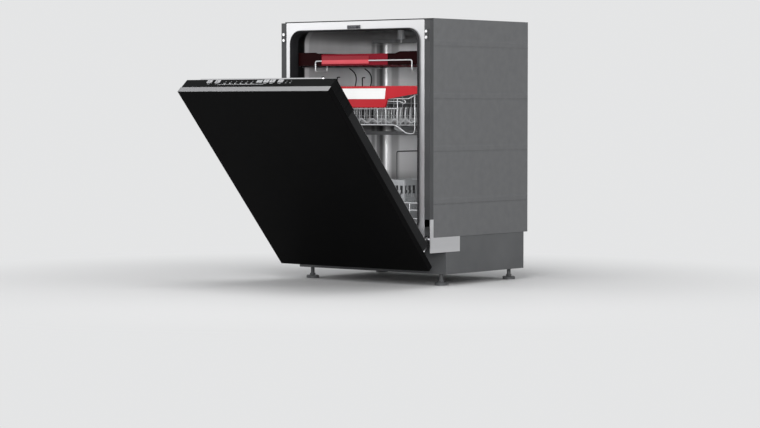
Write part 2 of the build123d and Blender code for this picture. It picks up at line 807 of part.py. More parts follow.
# Filter plate, a flat perforated sieve over the sump
with BuildPart() as filter_plate:
    with BuildSketch(level(tub_bottom - 3)) as sieve:
        with Locations((sump_x, sump_y)):
            Circle(sump_radius - sump_wall - filter_clearance)
        with Locations((filter_x, filter_y)):
            Circle(filter_radius + filter_clearance, mode=Mode.SUBTRACT)
        with Locations((0, arm_centre_y)):
            Circle(hub_radius - 4 + filter_clearance, mode=Mode.SUBTRACT)
        with Locations((sump_x - 25, sump_y - 35), (sump_x + 25, sump_y + 48), (sump_x + 62, sump_y + 25)):
            with GridLocations(8, 8, 4, 3):
                Circle(2.2, mode=Mode.SUBTRACT)
    extrude(sieve.sketch, amount=1.2)
filter_plate.part.label = "filter_plate"
export_step(filter_plate.part, "parts/filter_plate.step")

# Filter cylinder, a coarse cup with a grip, turned to lock
with BuildPart() as filter_cylinder:
    rod(level(tub_bottom - 60), (filter_x, filter_y), filter_radius - 2, 60)
    rod(level(tub_bottom - 57), (filter_x, filter_y), filter_radius - 4, 60, Mode.SUBTRACT)
    rod(level(tub_bottom - 3), (filter_x, filter_y), filter_radius, 3)
    rod(level(tub_bottom - 3), (filter_x, filter_y), filter_radius - 8, 3, Mode.SUBTRACT)
    block(level(tub_bottom - 8), filter_x - filter_radius + 3, filter_x + filter_radius - 3, filter_y - 3,
          filter_y + 3, 16)
    with BuildSketch(level(tub_bottom - 50)) as slots:
        with Locations((filter_x, filter_y)):
            with PolarLocations(filter_radius - 3, 12):
                Rectangle(8, 5)
    extrude(slots.sketch, amount=36, mode=Mode.SUBTRACT)
filter_cylinder.part.label = "filter_cylinder"
export_step(filter_cylinder.part, "parts/filter_cylinder.step")

# Circulation pump, with its heater ring and motor, against the sump
pump_x = sump_x + sump_radius + 0.2
with BuildPart() as circulation_pump:
    rod(side(pump_x), (sump_y, 92), 15, 8)
    rod(side(pump_x + 6), (sump_y, 92), 40, 26)
    rod(side(pump_x + 32), (sump_y, 92), 34, 84)
    rod(side(pump_x + 60), (sump_y, 92), 36, 40)
    block(level(base_bottom + base_floor), pump_x + 20, pump_x + 100, sump_y - 18, sump_y + 18, 24)
    fillet(circulation_pump.faces().sort_by(Axis.X)[-1].edges(), 5)
circulation_pump.part.label = "circulation_pump"
export_step(circulation_pump.part, "parts/circulation_pump.step")

# Drain pump, on the other side of the sump
drain_pump_x = sump_x - sump_radius - 0.2
with BuildPart() as drain_pump:
    rod(side(drain_pump_x), (sump_y, 82), 12, -8)
    rod(side(drain_pump_x - 6), (sump_y, 82), 32, -14)
    rod(side(drain_pump_x - 20), (sump_y, 82), 25, -50)
    block(level(base_bottom + base_floor), drain_pump_x - 60, drain_pump_x - 12, sump_y - 12, sump_y + 12,
          24)
    fillet(drain_pump.faces().sort_by(Axis.X)[0].edges(), 4)
drain_pump.part.label = "drain_pump"
export_step(drain_pump.part, "parts/drain_pump.step")

# Water softener, a tank with the salt neck that comes up through the floor
with BuildPart() as softener:
    block(level(base_bottom + base_floor), salt_x - 84, salt_x + 50, salt_y - 80, salt_y + 100, 98)
    fillet(softener.edges().filter_by(Axis.Z), 12)
    rod(level(base_bottom + base_floor + 98), (salt_x, salt_y), salt_radius,
        tub_bottom + 4 - base_bottom - base_floor - 98)
    rod(level(base_bottom + base_floor + 60), (salt_x, salt_y), salt_radius - 4, 100, Mode.SUBTRACT)
softener.part.label = "softener"
export_step(softener.part, "parts/softener.step")

# Salt cap, screwed into the neck
with BuildPart() as salt_cap:
    rod(level(tub_bottom + 4 + floor_clearance), (salt_x, salt_y), salt_radius + 4, 6)
    chamfer(salt_cap.edges().group_by(Axis.Z)[-1], 1.5)
    rod(level(tub_bottom - 8), (salt_x, salt_y), salt_radius - 4 - floor_clearance, 14)
    block(level(tub_bottom + 9), salt_x - salt_radius + 3, salt_x + salt_radius - 3, salt_y - 3,
          salt_y + 3, 4)
salt_cap.part.label = "salt_cap"
export_step(salt_cap.part, "parts/salt_cap.step")

# Float of the overflow switch
with BuildPart() as float_cap:
    rod(level(tub_bottom + floor_clearance), (float_x, float_y), float_radius, float_height)
    fillet(float_cap.edges().group_by(Axis.Z)[-1], 5)
    rod(level(tub_bottom + floor_clearance), (float_x, float_y), float_radius - 2.5, float_height - 3,
        Mode.SUBTRACT)
    rod(level(tub_bottom - 16), (float_x, float_y), float_stem_radius, 16 + float_height - 2)
    rod(level(tub_bottom - 18), (float_x, float_y), float_stem_radius + 4, 4)
float_cap.part.label = "float_cap"
export_step(float_cap.part, "parts/float_cap.step")

# Rear connectors: water valve with its thread, drain spigot and power inlet
with BuildPart() as rear_connectors:
    block(front(base_rear - base_wall), valve_x - 20, valve_x + 20, connector_z - 28, connector_z + 22, 46)
    rod(front(base_rear - base_wall), (valve_x, connector_z), valve_neck, -base_wall)
    rod(front(base_rear), (valve_x, connector_z), valve_thread, -15)
    rod(front(base_rear + 3), (valve_x, connector_z), valve_neck, -12, Mode.SUBTRACT)
    rod(front(base_rear), (drain_x, connector_z), 16, -3)
    rod(front(base_rear), (drain_x, connector_z), 10.5, -17)
    rod(front(base_rear), (drain_x, connector_z), 8, -17, Mode.SUBTRACT)
    block(front(base_rear), inlet_x - 20, inlet_x + 20, connector_z - 12, connector_z + 16, -12)
    block(front(base_rear + 12), inlet_x - 16, inlet_x + 16, connector_z - 9, connector_z + 13, 10,
          Mode.SUBTRACT)
    for pin in (-8, 0, 8):
        block(front(base_rear + 10), inlet_x + pin - 1, inlet_x + pin + 1, connector_z, connector_z + 5, 8)
rear_connectors.part.label = "rear_connectors"
export_step(rear_connectors.part, "parts/rear_connectors.step")

# Feed pipe up the back wall to the ceiling, with the port for the upper basket
port_z = upper_bottom - conduit_height / 2
with BuildPart() as feed_pipe:
    with BuildLine() as route:
        FilletPolyline((0, pipe_y, pipe_bottom), (0, pipe_y, pipe_top), (0, arm_centre_y, pipe_top),
                       radius=pipe_bend)
    with BuildSketch(level(pipe_bottom)) as pipe_round:
        with Locations((0, pipe_y)):
            Circle(pipe_radius)
    sweep(pipe_round.sketch, path=route.line)
    rod(front(pipe_y), (0, port_z), 6, pipe_y - basket_rear - basket_gap - 2)
    rod(front(basket_rear + 5), (0, port_z), 11, 5 - basket_gap)
    rod(level(ceiling_arm_z + arm_thick + 1), (0, arm_centre_y), hub_radius - 6,
        pipe_top + pipe_radius - ceiling_arm_z - arm_thick)
    rod(level(ceiling_arm_z + 3), (0, arm_centre_y), spigot_radius, arm_thick)
    for height in (300, 640):
        block(level(height), -16, 16, pipe_y, tub_back - basket_gap, 12)
feed_pipe.part.label = "feed_pipe"
export_step(feed_pipe.part, "parts/feed_pipe.step")


def spray_arm(z, reach, blade, bore_below):
    """Two bladed arm with a round hub, jets on top, bored for its spigot from one side."""
    blade_edge = ((0, -0.35 * blade), (reach - 0.3 * blade, -0.5 * blade), (reach, -0.1 * blade),
                  (reach - 0.1 * blade, 0.4 * blade))
    edge = [(turn * across, arm_centre_y + turn * along) for turn in (1, -1) for across, along in blade_edge]
    with BuildPart() as arm:
        with BuildSketch(level(z)) as plan:
            with BuildLine():
                Polyline(*edge, close=True)
            make_face()
            with Locations((0, arm_centre_y)):
                Circle(hub_radius)
        extrude(plan.sketch, amount=arm_thick)
        with BuildSketch(level(z + arm_thick)) as jets:
            for share in (0.25, 0.42, 0.6, 0.77, 0.9):
                with Locations((share * reach, arm_centre_y), (-share * reach, arm_centre_y)):
                    SlotOverall(6, 2.2)
        extrude(jets.sketch, amount=-2, mode=Mode.SUBTRACT)
        start = z if bore_below else z + arm_thick
        depth = arm_thick - 2 if bore_below else -(arm_thick - 2)
        rod(level(start), (0, arm_centre_y), spigot_radius + spigot_clearance, depth, Mode.SUBTRACT)
    return arm.part


# Lower spray arm
with BuildPart() as lower_spray_arm:
    add(spray_arm(lower_arm_z, lower_arm_length, 46, True))
lower_spray_arm.part.label = "lower_spray_arm"
export_step(lower_spray_arm.part, "parts/lower_spray_arm.step")

# Middle spray arm, under the upper basket
with BuildPart() as mid_spray_arm:
    add(spray_arm(mid_arm_z, mid_arm_length, 44, False))
mid_spray_arm.part.label = "mid_spray_arm"
export_step(mid_spray_arm.part, "parts/mid_spray_arm.step")

# Ceiling spray arm
with BuildPart() as ceiling_spray_arm:
    add(spray_arm(ceiling_arm_z, ceiling_arm_length, 34, False))
ceiling_spray_arm.part.label = "ceiling_spray_arm"
export_step(ceiling_spray_arm.part, "parts/ceiling_spray_arm.step")

# Conduit under the upper basket that feeds the middle arm
with BuildPart() as basket_conduit:
    block(level(upper_bottom - basket_gap), -conduit_half, conduit_half, arm_centre_y - 18, basket_rear,
          -(conduit_height - basket_gap))
    fillet(basket_conduit.edges().filter_by(Axis.Y), 4)
    rod(level(upper_bottom - conduit_height + 2), (0, arm_centre_y), hub_radius - 2,
        -(upper_bottom - conduit_height + 2 - mid_arm_z - arm_thick - 0.6))
    rod(level(mid_arm_z + arm_thick + 1), (0, arm_centre_y), spigot_radius, -(arm_thick - 2))
basket_conduit.part.label = "basket_conduit"
export_step(basket_conduit.part, "parts/basket_conduit.step")

# Upper basket, welded wire: a floor net, wall nets that stand on it, tines, glide blocks and shelf clips.
# The pieces stay solids of their own and meet where they are welded
upper_pitch = (2 * upper_half - upper_wire) / upper_columns
upper_top = upper_bottom + upper_wire
upper_ends = (basket_front + upper_wire, basket_rear - upper_wire)
glide_low = rail_bottom + 2 * rail_sheet + 2 * slide_gap
glide_high = rail_bottom + rail_height - 2 * rail_sheet - 2 * slide_gap
glide_reach = slide_outer - rail_sheet - slide_gap
tine_places = [(-upper_half + upper_wire / 2 + column * upper_pitch, basket_front + 52 + 24 * count)
               for column in (3, 5, 8, 10) for count in range(14)]
with BuildPart() as glides:
    for start in (rail_front + 20, rail_rear - 30 - glide_length):
        block(front(start), upper_half, glide_reach, glide_low, glide_high, -glide_length)
    mirror(about=Plane.YZ)
with BuildPart() as clips:
    for start in shelf_clips:
        block(front(start), -upper_half, shelf_x + shelf_rod_radius + 2, upper_side_top,
              shelf_z + shelf_rod_radius + 2, -6)
        rod(front(start), (shelf_x, shelf_z), shelf_rod_radius + axle_clearance, -6, Mode.SUBTRACT)
upper_basket = welded(
    net(level(upper_top), -upper_half, upper_half, basket_front, basket_rear, upper_columns, upper_rows,
        upper_wire),
    net(front(basket_front), -upper_half, upper_half, upper_top, upper_front_top, 10, 3, upper_wire),
    net(front(upper_ends[1]), -upper_half, upper_half, upper_top, upper_side_top, 10, 3, upper_wire),
    net(side(upper_half), *upper_ends, upper_top, upper_side_top, 9, 3, upper_wire),
    net(side(-upper_half + upper_wire), *upper_ends, upper_top, upper_side_top, 9, 3, upper_wire),
    bars(level(upper_top), tine_places, tine, tine, upper_tine_height),
    glides.part,
    clips.part,
)
upper_basket.label = "upper_basket"
export_step(upper_basket, "parts/upper_basket.step")

# Rim and handle of the upper basket, moulded in one
rim_face = basket_front - rim_thickness
with BuildPart() as basket_rim:
    with BuildSketch(front(rim_face)) as rim_front:
        with BuildLine():
            Polyline((0, rim_top), (rim_half, rim_top), (rim_half, rim_bottom + 4), (205, rim_bottom),
                     (handle_half + 6, insert_bottom), (handle_half - 4, handle_bottom), (0, handle_bottom),
                     close=True)
        make_face()
        mirror(about=Plane.YZ)
    extrude(rim_front.sketch, amount=-rim_thickness)
    block(level(rim_top), -rim_half, rim_half, rim_face, rim_face + 22, -3)
    block(level(rim_top), rim_half - rim_arm_width, rim_half, rim_face, rim_face + rim_arm_length,
          -(rim_top - upper_side_top))
    block(level(rim_top), -rim_half, -rim_half + rim_arm_width, rim_face, rim_face + rim_arm_length,
          -(rim_top - upper_side_top))
    with BuildSketch(front(rim_face)) as insert_seat:
        with BuildLine():
            Polyline((-handle_half + 4, insert_bottom), (handle_half - 4, insert_bottom),
                     (handle_half, insert_top), (-handle_half, insert_top), close=True)
        make_face()
    extrude(insert_seat.sketch, amount=-insert_depth, mode=Mode.SUBTRACT)
basket_rim.part.label = "basket_rim"
export_step(basket_rim.part, "parts/basket_rim.step")

# White insert of the handle
with BuildPart() as handle_insert:
    with BuildSketch(front(rim_face)) as insert_face:
        with BuildLine():
            Polyline((-handle_half + 4.2, insert_bottom + 0.2), (handle_half - 4.2, insert_bottom + 0.2),
                     (handle_half - 0.2, insert_top - 0.2), (-handle_half + 0.2, insert_top - 0.2),
                     close=True)
        make_face()
    extrude(insert_face.sketch, amount=-insert_depth)
handle_insert.part.label = "handle_insert"
export_step(handle_insert.part, "parts/handle_insert.step")

# Height levers at both sides of the upper basket
lever_x = upper_half + basket_gap
with BuildPart() as height_levers:
    block(side(lever_x), basket_front + 2, basket_front + 16, 516, 563, 5)
    fillet(height_levers.edges().filter_by(Axis.X), 5)
    mirror(about=Plane.YZ)
height_levers.part.label = "height_levers"
export_step(height_levers.part, "parts/height_levers.step")

# Fixed rails of the upper basket, channels that stand off the tub walls
with BuildPart() as basket_rails:
    block(front(rail_front), rail_inner, rail_web + rail_sheet, rail_bottom, rail_bottom + rail_height,
          -(rail_rear - rail_front))
    block(front(rail_front), rail_inner, rail_web, rail_bottom + rail_sheet,
          rail_bottom + rail_height - rail_sheet, -(rail_rear - rail_front), Mode.SUBTRACT)
    for start in (rail_front + 20, (rail_front + rail_rear) / 2, rail_rear - 40):
        block(front(start), rail_web + rail_sheet, tub_half - basket_gap, rail_bottom + 5,
              rail_bottom + rail_height - 5, -20)
    mirror(about=Plane.YZ)
basket_rails.part.label = "basket_rails"
export_step(basket_rails.part, "parts/basket_rails.step")

# Moving rails, one nested in each fixed channel
slide_low = rail_bottom + rail_sheet + slide_gap
slide_high = rail_bottom + rail_height - rail_sheet - slide_gap
with BuildPart() as rail_slides:
    slide_length = rail_rear - rail_front - 4
    block(front(rail_front + 2), rail_inner - 1, slide_outer, slide_low, slide_high, -slide_length)
    block(front(rail_front + 2), rail_inner - 1, slide_outer - rail_sheet, slide_low + rail_sheet,
          slide_high - rail_sheet, -slide_length, Mode.SUBTRACT)
    mirror(about=Plane.YZ)
rail_slides.part.label = "rail_slides"
export_step(rail_slides.part, "parts/rail_slides.step")

# Rails of the cutlery tray
tray_rail_top = tray_rail_bottom + tray_rail_height
with BuildPart() as tray_rails:
    block(front(rail_front), rail_inner - 2, rail_web + rail_sheet, tray_rail_bottom, tray_rail_top,
          -(rail_rear - rail_front))
    block(front(rail_front), rail_inner - 2, rail_web, tray_rail_bottom + rail_sheet,
          tray_rail_top - rail_sheet, -(rail_rear - rail_front), Mode.SUBTRACT)
    for start in (rail_front + 20, (rail_front + rail_rear) / 2, rail_rear - 40):
        block(front(start), rail_web + rail_sheet, tub_half - basket_gap, tray_rail_bottom + 4,
              tray_rail_top - 4, -20)
    mirror(about=Plane.YZ)
tray_rails.part.label = "tray_rails"
export_step(tray_rails.part, "parts/tray_rails.step")

# Cutlery tray, a shallow moulded tray with a slotted floor and ribs, raised at its sides
tray_length = basket_rear - 8 - tray_front
tray_rear = tray_front + tray_length
runner_low = max(tray_rail_bottom + rail_sheet + slide_gap, tray_bottom)
runner_high = tray_rail_top - rail_sheet - slide_gap
with BuildSketch(front(tray_front)) as tray_face:
    with BuildLine():
        Polyline((-tray_half, tray_bottom), (tray_half, tray_bottom), (tray_half, tray_side_top),
                 (tray_shoulder + 20, tray_side_top), (tray_shoulder, tray_top), (-tray_shoulder, tray_top),
                 (-tray_shoulder - 20, tray_side_top), (-tray_half, tray_side_top), close=True)
    make_face()
with BuildSketch(level(tray_bottom)) as tray_slots:
    with Locations((0, (tray_front + tray_rear) / 2)):
        Rectangle(2 * tray_half, tray_length)
        with GridLocations(36, 46, 13, 9):
            Rectangle(26, 34, mode=Mode.SUBTRACT)
with BuildPart() as cutlery_tray:
    walls = [
        extrude(tray_face.sketch, amount=-tray_wall, mode=Mode.PRIVATE),
        extrude(tray_face.sketch.moved(Location((0, tray_length - tray_wall, 0))), amount=-tray_wall,
                mode=Mode.PRIVATE),
        extrude(tray_slots.sketch, amount=tray_wall, mode=Mode.PRIVATE),
        bar(side(-tray_half), tray_front, tray_rear, tray_bottom, tray_side_top, tray_wall),
        bar(side(tray_half), tray_front, tray_rear, tray_bottom, tray_side_top, -tray_wall),
        bar(side(-tray_shoulder / 2 - 1.5), tray_front, tray_rear, tray_bottom, tray_bottom + 22, 3),
        bar(side(tray_shoulder / 2 - 1.5), tray_front, tray_rear, tray_bottom, tray_bottom + 22, 3),
        bar(front(tray_front + 14), tray_half - 1, slide_outer, runner_low, runner_high, -(tray_length - 28)),
        bar(front(tray_front + 14), -slide_outer, -tray_half + 1, runner_low, runner_high,
            -(tray_length - 28)),
    ]
    add(walls)
cutlery_tray.part.label = "cutlery_tray"
export_step(cutlery_tray.part, "parts/cutlery_tray.step")

# Handle of the cutlery tray
with BuildPart() as tray_handle:
    with BuildSketch(front(tray_front)) as grip:
        with BuildLine():
            Polyline((tray_handle_left, tray_handle_bottom),
                     (tray_handle_left, tray_handle_bottom + tray_handle_height),
                     (tray_handle_right, tray_handle_bottom + tray_handle_height),
                     (tray_handle_right - 5, tray_handle_bottom), close=True)
        make_face()
    extrude(grip.sketch, amount=4.2)
    block(front(tray_front), tray_handle_left - 1, tray_handle_right + 1,
          tray_wire_height - tray_wire_radius - 0.1, tray_wire_height + tray_wire_radius + 0.1,
          2 * tray_wire_radius + 0.1, Mode.SUBTRACT)
tray_handle.part.label = "tray_handle"
export_step(tray_handle.part, "parts/tray_handle.step")

# Wire bow along the tray's front, its ends turned down and back under the tray
wire_y = tray_front - tray_wire_radius
with BuildPart() as tray_wire:
    with BuildLine() as bow:
        FilletPolyline((tray_wire_left, 70, tray_bottom - 1), (tray_wire_left, 70, tray_wire_drop),
                       (tray_wire_left, wire_y, tray_wire_drop), (tray_wire_left, wire_y, tray_wire_height),
                       (tray_wire_right, wire_y, tray_wire_height), (tray_wire_right, wire_y, tray_wire_drop),
                       (tray_wire_right, 70, tray_wire_drop), (tray_wire_right, 70, tray_bottom - 1),
                       radius=6)
    with BuildSketch(level(tray_bottom - 1)) as bow_round:
        with Locations((tray_wire_left, 70)):
            Circle(tray_wire_radius)
    sweep(bow_round.sketch, path=bow.line)
tray_wire.part.label = "tray_wire"
export_step(tray_wire.part, "parts/tray_wire.step")

# Cup shelf, bent rods on a long rod at the left side of the upper basket, standing upright
with BuildPart() as cup_shelf:
    first = min(shelf_hooks) - 15
    last = max(shelf_loops) + 15
    rod(front(first), (shelf_x, shelf_z), shelf_rod_radius, -(last - first))
    for place in shelf_loops:
        with BuildLine() as bend:
            Line((shelf_x, place, shelf_z), (shelf_x + 8, place, shelf_z + 24))
            RadiusArc((shelf_x + 8, place, shelf_z + 24), (shelf_x - 6, place, shelf_top - 2), -34)
        with BuildSketch(Plane(origin=(shelf_x, place, shelf_z), x_dir=(0, 1, 0), z_dir=(8, 0, 24))):
            Circle(1.6)
        sweep(path=bend.line)
    for place in shelf_hooks:
        block(level(shelf_z), shelf_x - 1.5, shelf_x + 1.5, place - 1.5, place + 1.5, 38)
        block(level(shelf_z + 38), shelf_x - 1.5, shelf_x + 1.5, place - 1.5, place + 14, -3)
cup_shelf.part.label = "cup_shelf"
export_step(cup_shelf.part, "parts/cup_shelf.step")

# Lower basket, welded wire: a floor net, wall nets that stand on it, tines, wheel brackets with axle
# stubs, and clips for the folding tines
lower_top = lower_bottom + lower_wire
lower_ends = (lower_front + lower_wire, basket_rear - lower_wire)
lower_pitch_x = (2 * lower_half - lower_wire) / lower_columns
lower_pitch_y = (basket_rear - lower_front - lower_wire) / lower_rows
axle_z = tub_bottom + wheel_radius + basket_gap
bracket_x = lower_half - lower_wire / 2 - lower_pitch_x
wheel_inner = bracket_x + 3.5
fold_z = lower_top + fold_rise
plate_places = [(fold_left + 12 + 24 * count, lower_front + lower_wire / 2 + row * lower_pitch_y)
                for row in (2, 4) for count in range(10)]
with BuildPart() as brackets:
    for place in (wheel_front_y, wheel_rear_y):
        block(side(bracket_x - 1.5), place - 9, place + 9, axle_z - 8, lower_bottom, 3)
        rod(side(bracket_x - 1.5), (place, axle_z), axle_radius, wheel_width + 6)
    mirror(about=Plane.YZ)
with BuildPart() as clips:
    for clip in (fold_left + 24, fold_right - 18):
        block(side(clip), fold_y - 32, fold_y + 22, lower_top, lower_top + 1.5, 6)
        block(side(clip), fold_y - 5, fold_y + 5, lower_top, fold_z + 5, 6)
        rod(side(clip), (fold_y, fold_z), fold_rod_radius + axle_clearance, 6, Mode.SUBTRACT)
lower_basket = welded(
    net(level(lower_top), -lower_half, lower_half, lower_front, basket_rear, lower_columns, lower_rows,
        lower_wire),
    net(front(lower_front), -lower_half, lower_half, lower_top, lower_front_top, 11, 3, lower_wire),
    net(front(lower_ends[1]), -lower_half, lower_half, lower_top, lower_side_top, 10, 3, lower_wire),
    net(side(lower_half), *lower_ends, lower_top, lower_front_top, 9, 2, lower_wire),
    net(side(-lower_half + lower_wire), *lower_ends, lower_top, lower_front_top, 9, 2, lower_wire),
    bars(level(lower_top), plate_places, tine, tine, lower_tine_height),
    brackets.part,
    clips.part,
)
lower_basket.label = "lower_basket"
export_step(lower_basket, "parts/lower_basket.step")

# Wheels of the lower basket, a pair on each axle line
for name, place in {"wheels_front": wheel_front_y, "wheels_rear": wheel_rear_y}.items():
    with BuildPart() as wheels:
        rod(side(wheel_inner), (place, axle_z), wheel_radius, wheel_width)
        fillet(wheels.edges().filter_by(GeomType.CIRCLE), 2)
        rod(side(wheel_inner), (place, axle_z), axle_radius + axle_clearance, wheel_width, Mode.SUBTRACT)
        with BuildSketch(side(wheel_inner)) as windows:
            with Locations((place, axle_z)):
                with PolarLocations(10, 5):
                    Circle(2.6)
        extrude(windows.sketch, amount=wheel_width, mode=Mode.SUBTRACT)
        mirror(about=Plane.YZ)
    wheels.part.label = name
    export_step(wheels.part, f"parts/{name}.step")

# Folding tines of the lower basket, on a rod in two clips
with BuildPart() as plate_tines:
    rod(side(fold_left), (fold_y, fold_z), fold_rod_radius, fold_right - fold_left)
    step = (fold_right - fold_left - 20) / (fold_tines - 1)
    add(bars(level(fold_z), [(fold_left + 10 + step * count, fold_y) for count in range(fold_tines)], tine,
             tine, lower_tine_height))
plate_tines.part.label = "plate_tines"
export_step(plate_tines.part, "parts/plate_tines.step")

# Cutlery basket, a slotted box with three cells
cut_left = cutlery_x - cutlery_width / 2
cut_right = cutlery_x + cutlery_width / 2
cut_front = cutlery_y - cutlery_length / 2
cut_rear = cutlery_y + cutlery_length / 2
with BuildPart() as cutlery_basket:
    block(level(cutlery_bottom), cut_left, cut_right, cut_front, cut_rear, cutlery_height)
    fillet(cutlery_basket.edges().filter_by(Axis.Z), 8)
    block(level(cutlery_bottom + cutlery_wall), cut_left + cutlery_wall, cut_right - cutlery_wall,
          cut_front + cutlery_wall, cut_rear - cutlery_wall, cutlery_height, Mode.SUBTRACT)
    for share in (1 / 3, 2 / 3):
        wall_y = cut_front + share * cutlery_length
        block(level(cutlery_bottom), cut_left + 1, cut_right - 1, wall_y - 1, wall_y + 1, cutlery_height - 8)
    with BuildSketch(side(cut_left)) as slots_side:
        with Locations((cutlery_y, cutlery_bottom + cutlery_height * 0.55)):
            with GridLocations(11, 22, 13, 4):
                Rectangle(4.5, 14)
    extrude(slots_side.sketch, amount=cutlery_width, mode=Mode.SUBTRACT)
    with BuildSketch(front(cut_front)) as slots_front:
        with Locations((cutlery_x, cutlery_bottom + cutlery_height * 0.55)):
            with GridLocations(11, 22, 7, 4):
                Rectangle(4.5, 14)
    extrude(slots_front.sketch, amount=-cutlery_length, mode=Mode.SUBTRACT)
    pivot_z = cutlery_bottom + cutlery_height - 5
    for end in (cut_front - 0.01, cut_rear - cutlery_wall - 3):
        rod(front(end), (cutlery_x, pivot_z), 7, -(cutlery_wall + 3))
    rod(front(cut_front - 2), (cutlery_x, pivot_z), bail_radius + axle_clearance, -(cutlery_length + 4),
        Mode.SUBTRACT)
cutlery_basket.part.label = "cutlery_basket"
export_step(cutlery_basket.part, "parts/cutlery_basket.step")

# Bail of the cutlery basket, sprung into the two end walls
with BuildPart() as basket_bail:
    with BuildLine() as bail_path:
        FilletPolyline((cutlery_x, cut_front + 1, pivot_z), (cutlery_x, cutlery_y - bail_half, pivot_z),
                       (cutlery_x, cutlery_y - bail_half, pivot_z + bail_height),
                       (cutlery_x, cutlery_y + bail_half, pivot_z + bail_height),
                       (cutlery_x, cutlery_y + bail_half, pivot_z), (cutlery_x, cut_rear - 1, pivot_z),
                       radius=7)
    with BuildSketch(front(cut_front + 1)) as bail_round:
        with Locations((cutlery_x, pivot_z)):
            Circle(bail_radius)
    sweep(bail_round.sketch, path=bail_path.line)
basket_bail.part.label = "basket_bail"
export_step(basket_bail.part, "parts/basket_bail.step")
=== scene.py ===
import math
import bpy
import numpy as np
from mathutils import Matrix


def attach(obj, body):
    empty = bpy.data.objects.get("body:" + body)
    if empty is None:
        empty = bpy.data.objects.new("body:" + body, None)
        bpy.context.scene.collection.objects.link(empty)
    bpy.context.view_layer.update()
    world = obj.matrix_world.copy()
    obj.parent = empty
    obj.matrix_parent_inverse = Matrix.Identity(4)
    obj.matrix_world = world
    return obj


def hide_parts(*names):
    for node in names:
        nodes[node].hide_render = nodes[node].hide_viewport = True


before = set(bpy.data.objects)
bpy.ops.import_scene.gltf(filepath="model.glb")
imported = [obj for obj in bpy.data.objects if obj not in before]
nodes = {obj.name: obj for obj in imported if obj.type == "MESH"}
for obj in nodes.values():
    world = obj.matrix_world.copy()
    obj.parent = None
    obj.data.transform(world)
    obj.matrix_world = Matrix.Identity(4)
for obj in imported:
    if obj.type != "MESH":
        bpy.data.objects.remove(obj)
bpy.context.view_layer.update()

# Tub, frame and strike. Deep-drawn stainless sheet, brushed along its length, welded from a wrap and a floor,
# with a bright frame folded over its edge. The wall's tones by place are painted light: a painted reflection
# of the gasket as a dark band behind the mouth and a painted highlight on the bead past it, painted
# reflections at the rear corners, and painted shade high up and beside the baskets.


def ramp(tree, source, low, high, dark, light):
    """Turns a 0 to 1 value into a colour between dark and light, changing from low to high."""
    node = tree.nodes.new("ShaderNodeValToRGB")
    node.color_ramp.elements[0].position, node.color_ramp.elements[1].position = low, high
    node.color_ramp.elements[0].color = (*dark, 1.0)
    node.color_ramp.elements[1].color = (*light, 1.0)
    tree.links.new(source, node.inputs["Fac"])
    return node.outputs["Color"]


def noise(tree, coords, scale, stretch=(1, 1, 1), detail=3.0):
    """Noise on the object's own metres, drawn out along an axis by a small stretch factor there."""
    place = tree.nodes.new("ShaderNodeMapping")
    place.inputs["Scale"].default_value = stretch
    tree.links.new(coords, place.inputs["Vector"])
    node = tree.nodes.new("ShaderNodeTexNoise")
    node.inputs["Scale"].default_value = scale
    node.inputs["Detail"].default_value = detail
    tree.links.new(place.outputs["Vector"], node.inputs["Vector"])
    return node.outputs["Fac"]


def finish(name, dark, light, rough, grain, metallic=0.0, specular=0.5, stretch=(1, 1, 1), mottle=9.0,
           bump=0.15, edge=0.0006, coat=0.0, rough_spread=0.08):
    """A moulded, rolled or painted surface: slow colour mottle, fine grain in roughness and bump, and
    edges rounded in the shading."""
    mat = bpy.data.materials.new(name)
    mat.use_nodes = True
    tree = mat.node_tree
    shader = tree.nodes["Principled BSDF"]
    shader.inputs["Metallic"].default_value = metallic
    shader.inputs["Specular IOR Level"].default_value = specular
    shader.inputs["Coat Weight"].default_value = coat
    shader.inputs["Coat Roughness"].default_value = 0.08
    coords = tree.nodes.new("ShaderNodeTexCoord").outputs["Object"]
    slow = noise(tree, coords, mottle, stretch)
    fine = noise(tree, coords, grain, stretch, 5.0)
    tree.links.new(ramp(tree, slow, 0.3, 0.7, dark, light), shader.inputs["Base Color"])
    spread = tree.nodes.new("ShaderNodeMapRange")
    spread.inputs["To Min"].default_value = max(0.02, rough - rough_spread)
    spread.inputs["To Max"].default_value = rough + rough_spread
    tree.links.new(fine, spread.inputs["Value"])
    tree.links.new(spread.outputs["Result"], shader.inputs["Roughness"])
    relief = tree.nodes.new("ShaderNodeBump")
    relief.inputs["Strength"].default_value = bump
    relief.inputs["Distance"].default_value = 0.0003
    tree.links.new(fine, relief.inputs["Height"])
    soft_edge = tree.nodes.new("ShaderNodeBevel")
    soft_edge.samples = 4
    soft_edge.inputs["Radius"].default_value = edge
    tree.links.new(soft_edge.outputs["Normal"], relief.inputs["Normal"])
    tree.links.new(relief.outputs["Normal"], shader.inputs["Normal"])
    return mat


def surface(material):
    """The parts of a finish that a pattern is built on: its nodes, its shader and the object's X, Y and Z."""
    tree = material.node_tree
    axes = tree.nodes.new("ShaderNodeSeparateXYZ")
    tree.links.new(tree.nodes["Texture Coordinate"].outputs["Object"], axes.inputs["Vector"])
    return tree, tree.nodes["Principled BSDF"], axes.outputs


def work(tree, operation, *values):
    """One sum on values of the surface, each either a number or the value of another node."""
    node = tree.nodes.new("ShaderNodeMath")
    node.operation = operation
    for value, socket in zip(values, node.inputs):
        if isinstance(value, float):
            socket.default_value = value
        else:
            tree.links.new(value, socket)
    return node.outputs["Value"]


def stretched(tree, value, low, high):
    """A value that is 0 at low and 1 at high, straight between them and held beyond them."""
    node = tree.nodes.new("ShaderNodeMapRange")
    node.inputs["From Min"].default_value, node.inputs["From Max"].default_value = low, high
    tree.links.new(value, node.inputs["Value"])
    return node.outputs["Result"]


